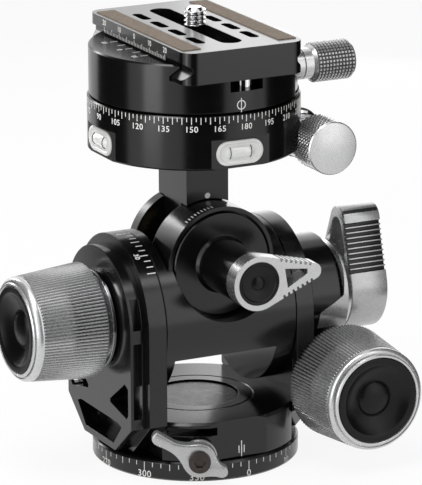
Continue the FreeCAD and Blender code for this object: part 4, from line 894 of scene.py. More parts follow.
@dataclass(frozen=True)
class Lines:
    """One row of equal engraved lines.

    Attributes:
        first: the first line, in degrees or millimetres.
        step: from line to line, in degrees or millimetres.
        count: how many lines.
        low: the lower end of a line.
        high: the upper end.
        width: the width of a line.
    """

    first: float
    step: float
    count: int
    low: float
    high: float
    width: float = 0.22


@dataclass(frozen=True)
class Numeral:
    """A number beside a scale.

    Attributes:
        text: the number.
        at: its middle, in degrees or millimetres.
    """

    text: str
    at: float


@dataclass
class Scale:
    """An engraved scale with its lines and numbers, filled with enamel.

    Attributes:
        name: the name of the piece.
        body: the body that carries it.
        face: the face that it lies on.
        lines: its rows of lines.
        numbers: its numbers.
        number_high: the middle height of the numbers.
        number_size: the height of a figure.
        slot: the record's material slot; not used.
        finish: the fill.
    """

    name: str
    body: str
    face: Face
    lines: list[Lines]
    numbers: list[Numeral] = field(default_factory=list)
    number_high: float = 0.0
    number_size: float = 1.7
    slot: str = "black_anodised"
    finish: Finish = ENAMEL

    def across(self, value: float) -> float:
        """Turns a place on the scale to a distance along the face."""
        return math.radians(value) * self.face.radius if self.face.radius else value

    def row(self, lines: Lines, label: str) -> Object:
        """Repeats one line over the scale.

        Args:
            lines: the row.
            label: the name of its object.

        Returns:
            The row as one object.
        """
        start = 0.0 if self.face.radius else lines.first
        shape = mesh_from(label, *bar(self.face, start, lines.low, lines.high, lines.width))
        if self.face.radius:
            repeat = Repeat(self.face.centre, self.face.up, lines.first, lines.step, lines.count)
        else:
            step = self.face.right() * lines.step
            repeat = Repeat(self.face.centre, step=tuple(step), rows=lines.count)
        return repeat.build(label, shape, self.finish.material())

    def number(self, numeral: Numeral) -> Object:
        """Lays one number on the face.

        Args:
            numeral: the number and its place.

        Returns:
            The number as an object.
        """
        curve = bpy.data.curves.new("figure", "FONT")
        curve.body = numeral.text
        curve.size = self.number_size / FIGURE_SHARE
        curve.align_x, curve.align_y = "CENTER", "CENTER"
        curve.space_character = FIGURE_SPACE
        curve.resolution_u = 4
        curve.offset = FIGURE_BOLD
        curve.extrude = (FILL_DEEP + FILL_PROUD) / 2
        draft = object_from("figure", curve)
        mesh = evaluated(draft)
        bpy.data.objects.remove(draft)
        lift = (FILL_PROUD - FILL_DEEP) / 2
        for vertex in mesh.vertices:
            x, y, z = vertex.co
            spot = self.face.spot(self.across(numeral.at) + x, self.number_high + y, z + lift)
            vertex.co = (Vector(self.face.centre) + spot) * MM
        made = object_from(f"{self.name}_{numeral.text}", mesh)
        mesh.materials.clear()
        mesh.materials.append(self.finish.material())
        return made

    def build(self) -> Object:
        """Builds the scale and fastens it to its body.

        Returns:
            The scale as one piece.
        """
        parts = [self.row(lines, f"{self.name}_row{i}") for i, lines in enumerate(self.lines)]
        parts += [self.number(numeral) for numeral in self.numbers]
        return report(joined(self.name, parts), self.body)


@dataclass
class Mark:
    """A round index mark: a filled dot, or an open circle.

    Attributes:
        name: the name of the piece.
        body: the body that carries it.
        face: the face that it lies on.
        at: its place across and up on the face.
        radius: its outer radius.
        inner: its inner radius, or 0 for a dot.
    """

    name: str
    body: str
    face: Face
    at: tuple[float, float]
    radius: float = 0.9
    inner: float = 0.0

    def mesh(self) -> Mesh:
        """Builds the mark as a thin disc or ring on the face.

        Returns:
            The mesh in metres.
        """
        centre, around = Vector(self.face.centre), 32
        points: list[Vector] = []
        faces: list[tuple[int, ...]] = []
        radii = (self.radius, max(self.inner, 0.001))
        for radius in radii:
            for proud in (-FILL_DEEP, FILL_PROUD):
                for i in range(around):
                    angle = 2 * math.pi * i / around
                    across = self.at[0] + radius * math.cos(angle)
                    above = self.at[1] + radius * math.sin(angle)
                    points.append(centre + self.face.spot(across, above, proud))
        for i in range(around):
            j = (i + 1) % around
            for a, b in ((0, 1), (1, 3), (3, 2), (2, 0)):
                faces.append((a * around + i, a * around + j, b * around + j, b * around + i))
        return mesh_from(self.name, points, faces)

    def build(self) -> Object:
        """Builds the mark and fastens it to its body.

        Returns:
            The mark.
        """
        made = piece(self.name, self.mesh(), ENAMEL)
        return report(made, self.body)


@dataclass
class Marks:
    """All scales and index marks of the head, each on the part that carries it.

    Attributes:
        base_zero: where the base scale's 0 is, in degrees from the front.
        housing_180: where the top scale's 180 is.
        disc_r: the radius of the base disc.
        housing_r: the radius of the pan housing.
        upper_r: the radius of the upper disc.
        cheek_r: the radius of the left cheek's rim.
        tilt_z: the height of the tilt axis.
    """

    base_zero: float = 4.3
    housing_180: float = 2.3
    disc_r: float = 30.5
    housing_r: float = 31.1
    upper_r: float = 30.6
    cheek_r: float = 24.5
    tilt_z: float = 45.0

    def base_scale(self) -> Object:
        """Builds the pan scale on the base disc, 5 degrees a line.

        Returns:
            The scale.
        """
        face = Face((0, 0, 0), (0, 0, 1), (0, -1, 0), self.disc_r)
        zero = self.base_zero
        return Scale(
            "base_pan_scale",
            "base",
            face,
            [
                Lines(zero, 5, 72, 3.7, 5.0),
                Lines(zero, 15, 24, 3.1, 3.7),
                Lines(zero, 30, 12, 2.5, 3.1),
            ],
            [Numeral(str(n), zero + n) for n in range(0, 360, 30)],
            1.3,
            2.0,
        ).build()

    def yoke_index(self) -> Object:
        """Builds the three index lines on the front of the yoke base.

        Returns:
            The scale.
        """
        face = Face((0.85, -28.5, 0), (0, 0, 1), (0, -1, 0))
        return Scale(
            "yoke_index",
            "yoke",
            face,
            [Lines(0, 1, 1, 6.1, 10.9, 0.3), Lines(-0.85, 1.7, 2, 7.2, 9.4, 0.3)],
        ).build()

    def cheek_scale(self) -> Object:
        """Builds the tilt scale on the rim of the left cheek, 5 degrees a line.

        Returns:
            The scale.
        """
        face = Face((-24.0, 0, self.tilt_z), (1, 0, 0), (0, 0, 1), self.cheek_r)
        return Scale(
            "tilt_scale",
            "yoke",
            face,
            [Lines(1.5, 5, 10, 0.5, 2.6, 0.28), Lines(1.5, 15, 4, -0.1, 0.5, 0.28)],
            [Numeral("0", 1.5), Numeral("30", 31.5)],
            -1.0,
            1.5,
        ).build()

    def barrel_scale(self) -> Object:
        """Builds the roll scale on the barrel's front edge, 3.75 degrees a line.

        Returns:
            The scale.
        """
        face = Face((0, -16.0, 61.8), (0, 1, 0), (0, 0, 1), 17.0)
        return Scale(
            "roll_scale",
            "tilt_frame",
            face,
            [Lines(-38.0, 3.75, 9, -0.75, 0.75, 0.35)],
        ).build()

    def housing_scale(self) -> Object:
        """Builds the top pan scale, 2.5 degrees a line and a number every 15.

        Returns:
            The scale.
        """
        face = Face((0, 0, 0), (0, 0, 1), (0, -1, 0), self.housing_r)
        zero = self.housing_180 - 180
        return Scale(
            "top_pan_scale",
            "stem",
            face,
            [Lines(zero, 2.5, 144, 107.9, 109.1), Lines(zero, 5, 72, 107.1, 107.9)],
            [Numeral(str(n), zero + n) for n in range(0, 360, 15)],
            105.6,
            1.7,
        ).build()

    def disc_index(self) -> list[Object]:
        """Builds the index on the upper disc: a circle with a line through it.

        Returns:
            The line and the circle.
        """
        face = Face((0, 0, 0), (0, 0, 1), (0, -1, 0), self.upper_r)
        strokes = [Lines(-0.2, 1, 1, 109.9, 114.0, 0.25)]
        line = Scale("disc_index_line", "clamp", face, strokes).build()
        circle = Mark("disc_index_circle", "clamp", face, (-0.1, 112.0), 1.4, 1.12).build()
        return [line, circle]

    def plate_ruler(self) -> Object:
        """Builds the millimetre rule on the plate's left side.

        Returns:
            The scale.
        """
        face = Face((-19.05, 0, 0), (0, 0, 1), (-1, 0, 0))
        return Scale(
            "plate_ruler",
            "plate",
            face,
            [Lines(-20, 1, 41, 124.9, 125.9, 0.24), Lines(-20, 5, 9, 125.9, 126.5, 0.24)],
            [Numeral(str(abs(n)), -n) for n in (-20, -10, 0, 10, 20)],
            127.7,
            1.6,
        ).build()

    def disc_ruler(self) -> Object:
        """Builds the short rule on the upper disc, beside the plate.

        Returns:
            The scale.
        """
        face = Face((0, 0, 124.3), (-1, 0, 0), (0, 0, 1))
        return Scale(
            "disc_ruler",
            "clamp",
            face,
            [Lines(-10, 5, 5, 19.6, 22.0, 0.3)],
            [Numeral("10", -10), Numeral("0", 0), Numeral("10", 10)],
            23.6,
            1.6,
        ).build()

    def stem_dot(self) -> Object:
        """Builds the index dot on the stem."""
        face = Face((0, -8.7, 80.1), (0, 0, 1), (0, -1, 0))
        return Mark("stem_dot", "stem", face, (0, 0), 0.85).build()

    def build(self) -> None:
        """Builds every scale and mark in order."""
        self.base_scale()
        self.yoke_index()
        self.cheek_scale()
        self.barrel_scale()
        self.housing_scale()
        self.disc_index()
        self.plate_ruler()
        self.disc_ruler()
        self.stem_dot()


# ---------------------------------------------------------------- knobs and screws


@dataclass
class DriveKnob:
    """A tapered drive knob with straight ribs, a rounded lip, a groove and a ring round its cap.

    Attributes:
        node: the node that it stands for.
        body: the body that turns with it.
        back: the centre of its back face.
        axis: the direction that it points in.
        length: from its back to its front.
        back_r: its radius at the back.
        front_r: its radius at the front, before the lip rounds it.
        cap_r: the radius of the cap's seat.
        cap_deep: the depth of the seat.
        groove_r: the middle radius of the groove.
        groove_deep: the depth of the groove.
        bore_r: the radius of the shaft's bore.
        bore_deep: the place in the bore where the profile starts and ends.
        ribs: ribs round the knob.
        rib_deep: the height of a rib.
        rib_from: where the ribs start.
        rib_to: where they end.
        finish: the finish of the ribs.
        valley: the painted shade between the ribs.
    """

    node: str
    body: str
    back: tuple[float, float, float]
    axis: Axis
    length: float = 23.0
    back_r: float = 17.2
    front_r: float = 15.2
    cap_r: float = 12.85
    cap_deep: float = 5.0
    groove_r: float = 14.1
    groove_deep: float = 0.9
    bore_r: float = 2.5
    bore_deep: float = 14.0
    ribs: int = 104
    rib_deep: float = 0.6
    rib_from: float = 0.6
    rib_to: float = 20.0
    finish: Finish = KNOB
    valley: Finish = KNURL_SHADE

    def radius(self, reach: float) -> float:
        """Gives the outer radius at a place along the knob."""
        return self.back_r + (self.front_r - self.back_r) * reach / self.length

    def tail(self) -> list[Ring]:
        """Gives the profile behind the knurl.

        Returns:
            Its rings, from the bore outwards.
        """
        low = self.rib_from
        return [
            Ring(self.bore_r, self.bore_deep),
            Ring(self.bore_r, 0.0),
            Ring(self.back_r - 1.3, 0.0),
            Ring(self.radius(low) - self.rib_deep, low),
        ]

    def nose(self) -> list[Ring]:
        """Gives the profile in front of the knurl, to the seat of the cap.

        Returns:
            Its rings, from the knurl to the bore.
        """
        high, end, lip = self.rib_to, self.length, self.groove_r + 0.3
        crest = self.radius(high)
        return [
            Ring(crest - self.rib_deep, high),
            Ring(crest - 0.12, high + 0.15),
            Ring(crest - 0.03, high + 0.5),
            Ring(crest - 0.1, high + 1.1),
            Ring(crest - 0.3, high + 1.7),
            Ring(lip + 0.3, end - 0.8),
            Ring(lip, end - 0.65),
            Ring(lip - 0.1, end - self.groove_deep - 0.3),
            Ring(self.groove_r - 0.2, end - self.groove_deep - 0.3),
            Ring(self.groove_r - 0.25, end - 0.35),
            Ring(self.groove_r - 0.55, end),
            Ring(self.cap_r + 0.2, end),
            Ring(self.cap_r, end - 0.2),
            Ring(self.cap_r, end - self.cap_deep),
            Ring(self.bore_r, end - self.cap_deep),
            Ring(self.bore_r, self.bore_deep),
        ]

    def band(self) -> list[Ring]:
        """Gives the floor of the knurl.

        Returns:
            The rings of a closed band.
        """
        low, high, deep = self.rib_from, self.rib_to, self.rib_deep
        return [
            Ring(self.radius(low) - deep - 1.0, low + 0.01),
            Ring(self.radius(low) - deep, low + 0.01),
            Ring(self.radius(high) - deep, high - 0.01),
            Ring(self.radius(high) - deep - 1.0, high - 0.01),
            Ring(self.radius(low) - deep - 1.0, low + 0.01),
        ]

    def solid(self, label: str, rings: Sequence[Ring], finish: Finish) -> Object:
        """Turns one part of the knob.

        Args:
            label: the last word of its name.
            rings: its profile.
            finish: its finish.

        Returns:
            The part as an object.
        """
        name = f"{self.node}_{label}"
        return piece(name, turned(name, rings, self.back, self.axis, 120), finish)

    def knurl(self) -> Object:
        """Repeats one straight rib round the knob.

        Returns:
            All ribs as one object.
        """
        side, other = self.axis.basis()
        forward = self.axis.vector()
        half = math.pi / self.ribs
        points: list[Vector] = []
        # places along the knob, each with the share of its height that a rib has there
        ends = (
            (self.rib_from - 0.3, 0.0),
            (self.rib_from + 0.3, 1.0),
            (self.rib_to - 0.2, 1.0),
            (self.rib_to + 0.1, 0.7),
        )
        for reach, tall in ends:
            foot = self.radius(reach) - self.rib_deep - 0.08
            crest = foot + (self.rib_deep + 0.08) * tall
            for share, radius in ((-0.8, foot), (-0.22, crest), (0.22, crest), (0.8, foot)):
                spoke = side * math.cos(half * share) + other * math.sin(half * share)
                points.append(spoke * radius + forward * reach)
        faces = []
        for row in range(3):
            for i in range(3):
                a = row * 4 + i
                faces.append((a, a + 1, a + 5, a + 4))
            faces.append((row * 4 + 3, row * 4, row * 4 + 4, row * 4 + 7))
        faces += [(3, 2, 1, 0), (12, 13, 14, 15)]
        shape = mesh_from(f"{self.node}_rib", points, faces)
        repeat = Repeat(self.back, self.axis.value, 0.0, 360 / self.ribs, self.ribs)
        return repeat.build(f"{self.node}_ribs", shape, self.finish.material())

    def build(self) -> Object:
        """Builds the knob and puts it in its node's place.

        Returns:
            The knob as one piece.
        """
        parts = [
            # the core takes a lighter copy of the knob metal: painted sheen
            self.solid("core", self.tail() + self.nose(), KNOB_LIP_SHEEN),
            # the floor between the ribs: painted shade
            self.solid("valley", self.band(), self.valley),
            self.knurl(),
        ]
        made = joined(f"{self.node}_knurled", parts)
        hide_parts(self.node)
        return report(made, self.body)


@dataclass
class RubberCap:
    """A dished rubber cap: a broad rim, a conical dish, and a dome inside a fine raised line.

    Attributes:
        node: the node that it stands for.
        body: the body that turns with it.
        back: the centre of its back.
        axis: the direction that it faces.
        radius: its outer radius.
        front: the place of its rim in front of its back.
        dish_r: the radius of the dish's edge.
        deep: the depth of the dish.
        ring_r: the radius of the line round the dome.
        dome: the height of the dome above the dish's floor.
        line: half the width of the line, and its height.
    """

    node: str
    body: str
    back: tuple[float, float, float]
    axis: Axis
    radius: float = 12.8
    front: float = 5.1
    dish_r: float = 10.5
    deep: float = 2.6
    ring_r: float = 5.4
    dome: float = 1.5
    line: float = 0.18

    def build(self) -> Object:
        """Builds the cap and puts it in its node's place.

        Returns:
            The cap as one piece.
        """
        floor, edge = self.front - self.deep, self.radius - self.dish_r
        rings = [
            Ring(0.0, 0.0),
            Ring(self.radius, 0.0),
            Ring(self.radius, self.front - 0.35),
            Ring(self.radius - 0.1, self.front - 0.12),
            Ring(self.radius - 0.3, self.front),
            Ring(self.dish_r + edge * 0.35, self.front - 0.05),
            Ring(self.dish_r + edge * 0.12, self.front - 0.12),
            Ring(self.dish_r, self.front - 0.3),
            Ring(self.dish_r - edge * 0.2, self.front - 0.3 - self.deep * 0.2),
            Ring(self.ring_r + (self.dish_r - self.ring_r) * 0.45, floor + self.deep * 0.3),
            Ring(self.ring_r + self.line, floor),
            Ring(self.ring_r + self.line * 0.4, floor + self.line),
            Ring(self.ring_r - self.line * 0.4, floor + self.line),
            Ring(self.ring_r - self.line, floor - self.line),
        ]
        low = floor - self.line
        for share in (0.97, 0.9, 0.78, 0.62, 0.44, 0.26, 0.12):
            height = low + (self.dome + self.line) * math.sqrt(1 - share * share)
            rings.append(Ring((self.ring_r - self.line) * share, height))
        rings.append(Ring(0.0, low + self.dome + self.line))
        name = f"{self.node}_dished"
        made = piece(name, turned(name, rings, self.back, self.axis, 96), RUBBER)
        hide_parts(self.node)
        return report(made, self.body)


class Knurl(Enum):
    """How a small knob is knurled."""

    DIAMOND = "diamond"
    SQUARE = "square"


@dataclass
class SmallKnob:
    """A small turned knob with a fine knurl.

    Attributes:
        node: the node that it stands for.
        body: the body that turns with it.
        back: the point on its axis that the profile starts from.
        axis: the direction that it points in.
        profile: its turned core.
        knurl: the pattern of its knurl.
        radius: the radius under the knurl.
        crest: the height of the knurl.
        start: where the knurl starts.
        end: where it ends.
        around: knurl points round the knob.
        rows: rows of points along it.
        slot: the record's material slot; not used.
        finish: its finish.
    """

    node: str
    body: str
    back: tuple[float, float, float]
    axis: Axis
    profile: list[Ring]
    knurl: Knurl
    radius: float
    crest: float
    start: float
    end: float
    around: int
    rows: int
    slot: str = "clamp_grey"
    finish: Finish = KNOB

    def point(self) -> Mesh:
        """Builds one point of the knurl, relative to the knob's back.

        Returns:
            The mesh in metres.
        """
        side, other = self.axis.basis()
        forward = self.axis.vector()
        pitch = (self.end - self.start) / self.rows
        half = math.pi / self.around
        # a point's corners as shares of half its pitch, round and along the knob, then its
        # reach along the knob and the share of its foot that its top keeps
        if self.knurl is Knurl.DIAMOND:
            low = [(0.86, 0.0), (0.0, 0.86), (-0.86, 0.0), (0.0, -0.86)]
            reach, top = pitch, 0.3
        else:
            low = [(0.8, 0.8), (-0.8, 0.8), (-0.8, -0.8), (0.8, -0.8)]
            reach, top = pitch / 2, 0.6
        points: list[Vector] = []
        for share, height in ((1.0, -0.05), (top, self.crest)):
            for turn, along in low:
                angle = half * turn * share
                spoke = side * math.cos(angle) + other * math.sin(angle)
                out = self.start + pitch / 2 + reach * along * share
                points.append(spoke * (self.radius + height) + forward * out)
        faces = [(3, 2, 1, 0), (4, 5, 6, 7)]
        faces += [(i, (i + 1) % 4, 4 + (i + 1) % 4, 4 + i) for i in range(4)]
        return mesh_from(f"{self.node}_point", points, faces)

    def build(self) -> Object:
        """Builds the knob and puts it in its node's place.

        Returns:
            The knob as one piece.
        """
        inside, floor = self.radius - 1.0, self.radius + 0.06
        valley = [
            Ring(inside, self.start),
            Ring(floor, self.start),
            Ring(floor, self.end),
            Ring(inside, self.end),
            Ring(inside, self.start),
        ]
        parts = []
        for label, rings, finish in (
            # the core takes a lighter copy of the knob metal: painted sheen
            ("core", self.profile, KNOB_LIP_SHEEN),
            # the floor under the knurl points: painted shade
            ("valley", valley, KNURL_SHADE),
        ):
            name = f"{self.node}_{label}"
            parts.append(piece(name, turned(name, rings, self.back, self.axis, 72), finish))
        repeat = Repeat(
            self.back,
            self.axis.value,
            0.0,
            360 / self.around,
            self.around,
            tuple(self.axis.vector() * (self.end - self.start) / self.rows),
            self.rows,
            0.5 if self.knurl is Knurl.DIAMOND else 0.0,
        )
        parts.append(repeat.build(f"{self.node}_points", self.point(), self.finish.material()))
        made = joined(f"{self.node}_knurled", parts)
        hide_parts(self.node)
        return report(made, self.body)


@dataclass
class Thread:
    """A screw thread as one helical surface between two heights.

    Attributes:
        name: the mesh's name.
        centre: the foot of the thread on its axis, which points up.
        crest: the radius of its crests.
        root: the radius of its roots.
        pitch: from crest to crest.
        height: the length of the threaded part.
        tip: the height of a plain chamfered tip above it.
        around: faces round the axis.
    """

    name: str
    centre: tuple[float, float, float]
    crest: float
    root: float
    pitch: float
    height: float
    tip: float
    around: int = 48

    def spot(self, angle: float, radius: float, height: float) -> Vector:
        """Gives a point at an angle round the axis."""
        offset = Vector((math.cos(angle) * radius, math.sin(angle) * radius, height))
        return Vector(self.centre) + offset

    def mesh(self) -> Mesh:
        """Builds the helix.

        Returns:
            A closed mesh in metres.
        """
        around = self.around
        # shares of one pitch, each with the radius that the thread has there
        steps = ((0.0, self.root), (0.14, self.root), (0.46, self.crest), (0.6, self.crest))
        rows = int(self.height / self.pitch) + 1
        points: list[Vector] = []
        stack: list[list[int]] = []
        for turn in range(-1, rows + 1):
            for share, radius in steps:
                loop = []
                for i in range(around + 1):
                    angle = 2 * math.pi * i / around
                    height = (turn + share + i / around) * self.pitch
                    spread = self.root if height <= 0 or height >= self.height else radius
                    height = min(max(height, 0.0), self.height)
                    loop.append(len(points))
                    points.append(self.spot(angle, spread, height))
                stack.append(loop)
        faces = [
            (low[i], low[i + 1], high[i + 1], high[i])
            for low, high in zip(stack, stack[1:])
            for i in range(around)
        ]
        base = len(points)
        for height, radius in (
            (0.0, self.root),
            (self.height, self.root),
            (self.height + self.tip, self.root * 0.8),
        ):
            for i in range(around):
                points.append(self.spot(2 * math.pi * i / around, radius, height))
        shoulder, end = base + around, base + 2 * around
        for i in range(around):
            j = (i + 1) % around
            faces.append((shoulder + i, shoulder + j, end + j, end + i))
        faces.append(tuple(end + i for i in range(around)))
        faces.append(tuple(shoulder - 1 - i for i in range(around)))
        return mesh_from(self.name, points, faces)


@dataclass
class CameraScrew:
    """The captive quarter-inch camera screw: a round head below and a thread above.

    Attributes:
        centre: the place of its axis on the plate.
        foot: the height at which the thread starts.
        head_low: the height of the head's underside.
        head_h: the height of the head.
        head_r: its radius.
        stud_r: the radius of the thread's crests.
        neck_r: the radius between head and thread.
        root_r: the radius of the thread's roots.
        pitch: the thread's pitch.
        top: the height of the screw's end.
        tip: the height of its chamfered end.
    """

    centre: tuple[float, float] = (0.0, -1.0)
    foot: float = 129.55
    head_low: float = 120.1
    head_h: float = 2.6
    head_r: float = 6.0
    stud_r: float = 3.175
    neck_r: float = 2.5
    root_r: float = 2.55
    pitch: float = 1.27
    top: float = 134.8
    tip: float = 0.6

    def build(self) -> Object:
        """Builds the screw and puts it in its node's place.

        Returns:
            The screw as one piece.
        """
        thread = Thread(
            "camera_screw_thread",
            (*self.centre, self.foot),
            crest=self.stud_r + 0.02,
            root=self.root_r,
            pitch=self.pitch,
            height=self.top - self.tip - self.foot,
            tip=self.tip,
        )
        made = piece("camera_screw_thread", thread.mesh(), CHROME)
        neck = self.foot - self.head_low + 0.1
        shank = [
            Ring(0.0, 0.0),
            Ring(self.head_r - 0.3, 0.0),
            Ring(self.head_r, 0.3),
            Ring(self.head_r, self.head_h - 0.3),
            Ring(self.head_r - 0.3, self.head_h),
            Ring(self.neck_r, self.head_h),
            Ring(self.neck_r, neck),
            Ring(0.0, neck),
        ]
        below = (*self.centre, self.head_low)
        head_mesh = turned("camera_screw_head", shank, below, Axis.UP, 48)
        low = piece("camera_screw_head", head_mesh, CHROME)
        whole = joined("camera_screw_threaded", [made, low])
        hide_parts("camera_screw")
        return report(whole, "stud")


# ---------------------------------------------------------------- levers


Loop = list[tuple[float, float]]


def round_loop(centre: tuple[float, float], radius: float, around: int = 32) -> Loop:
    """Gives a circle as a loop of points."""
    turns = [2 * math.pi * i / around for i in range(around)]
    return [(centre[0] + radius * math.cos(t), centre[1] + radius * math.sin(t)) for t in turns]


def arc(centre: tuple[float, float], radius: float, start: float, end: float, steps: int) -> Loop:
    """Gives an arc as points.

    Args:
        centre: its centre.
        radius: its radius.
        start: its first angle in degrees.
        end: its last angle in degrees.
        steps: the number of steps.

    Returns:
        The points, ends included.
    """
    turns = [math.radians(start + (end - start) * i / steps) for i in range(steps + 1)]
    return [(centre[0] + radius * math.cos(t), centre[1] + radius * math.sin(t)) for t in turns]


def flowing(corners: Loop, steps: int = 5) -> Loop:
    """Draws a smooth closed line through its corners.

    Args:
        corners: the points that it passes.
        steps: points for each corner.

    Returns:
        The closed line as points.
    """
    count = len(corners)
    line: Loop = []
    for i in range(count):
        a, b, c, d = (Vector(corners[(i + k) % count]) for k in (-1, 0, 1, 2))
        for j in range(steps):
            t = j / steps
            square, cube = a * 2 - b * 5 + c * 4 - d, b * 3 - a - c * 3 + d
            spot = (b * 2 + (c - a) * t + square * t**2 + cube * t**3) / 2
            line.append((spot.x, spot.y))
    return line


def cut_plate(name: str, loops: Sequence[Loop], thick: float, bevel: float, place: Matrix) -> Mesh:
    """Cuts a plate with bevelled edges from its outline.

    Args:
        name: the mesh's name.
        loops: the outline and its openings, in millimetres.
        thick: the plate's thickness, half on each side of the outline's plane.
        bevel: the size of its bevels.
        place: turns and moves it from the outline's plane, in millimetres.

    Returns:
        The mesh in metres.
    """
    curve = bpy.data.curves.new(name, "CURVE")
    curve.dimensions, curve.fill_mode = "2D", "BOTH"
    curve.extrude, curve.bevel_depth, curve.offset = thick / 2 - bevel, bevel, -bevel
    curve.bevel_resolution = 2
    for loop in loops:
        spline = curve.splines.new("POLY")
        spline.points.add(len(loop) - 1)
        for point, (x, y) in zip(spline.points, loop):
            point.co = (x, y, 0, 1)
        spline.use_cyclic_u = True
    draft = object_from(name, curve)
    mesh = evaluated(draft)
    bpy.data.objects.remove(draft)
    mesh.transform(Matrix.Scale(MM, 4) @ place)
    shade(mesh)
    return mesh


@dataclass
class LockLever:
    """The base lock's lever: an S-shaped bar with a round eye, bevelled all round, on a hub.

    Attributes:
        turn: the bearing of its screw, in degrees from the front to the left.
        height: the height of its screw.
        inner: the bar's inner face, from the pan axis.
        outer: the bar's outer face.
        hub_r: the hub's radius.
        hub_from: the hub's inner face.
        screw_r: the radius of the screw's hole.
        bevel: the size of the bar's bevels.
    """

    turn: float = 24.5
    height: float = 8.0
    inner: float = 31.9
    outer: float = 35.7
    hub_r: float = 5.3
    hub_from: float = 30.9
    screw_r: float = 1.55
    bevel: float = 0.5

    def outline(self) -> Loop:
        """Gives the S shape, from the arm's tip over the eye to the tail and back below.

        Returns:
            The closed outline.
        """
        over = [(-12.6, 8.7), (-11.3, 8.3), (-9.2, 7.0), (-6.6, 5.5), (-3.4, 4.95), (0.0, 5.15)]
        tail = [(2.7, 4.4), (4.3, 2.7), (5.2, 0.4), (6.3, -1.3), (7.8, -2.2), (8.2, -3.3)]
        under = [(7.9, -4.6), (6.6, -5.2), (4.4, -4.8), (2.2, -4.8), (-0.2, -5.0), (-2.6, -4.3)]
        arm = [(-4.3, -2.5), (-5.4, -0.4), (-7.2, 1.9), (-9.8, 3.7), (-12.2, 4.8)]
        end = [(-13.5, 5.9), (-13.7, 7.4)]
        return flowing(over + tail + under + arm + end, 4)

    def place(self, out: float) -> Matrix:
        """Gives the turn and place of the outline's plane at a distance from the pan axis.

        Args:
            out: the distance in millimetres.

        Returns:
            The matrix in millimetres.
        """
        angle = math.radians(self.turn)
        across = Vector((math.cos(angle), -math.sin(angle), 0))
        outward = Vector((-math.sin(angle), -math.cos(angle), 0))
        turn = Matrix((across, Vector((0, 0, 1)), outward)).transposed().to_4x4()
        return Matrix.Translation(outward * out + Vector((0, 0, self.height))) @ turn

    def build(self) -> Object:
        """Builds the lever and puts it in its node's place.

        Returns:
            The lever as one piece.
        """
        hole = round_loop((0, 0), self.screw_r, 16)
        bar_at = self.place((self.inner + self.outer) / 2)
        bar_loops = [self.outline(), hole]
        bar_thick = self.outer - self.inner
        # the hub reaches a little into the bar
        hub_at = self.place((self.hub_from + self.inner) / 2 + 0.1)
        hub_loops = [round_loop((0, 0), self.hub_r), hole]
        hub_thick = self.inner - self.hub_from + 0.2
        parts = [
            piece(name, cut_plate(name, loops, thick, bevel, place), LEVER)
            for name, loops, thick, bevel, place in (
                ("lock_lever_bar", bar_loops, bar_thick, self.bevel, bar_at),
                ("lock_lever_hub", hub_loops, hub_thick, 0.1, hub_at),
            )
        ]
        made = joined("base_lock_lever_shaped", parts)
        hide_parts("base_lock_lever")
        return report(made, "base_lock")


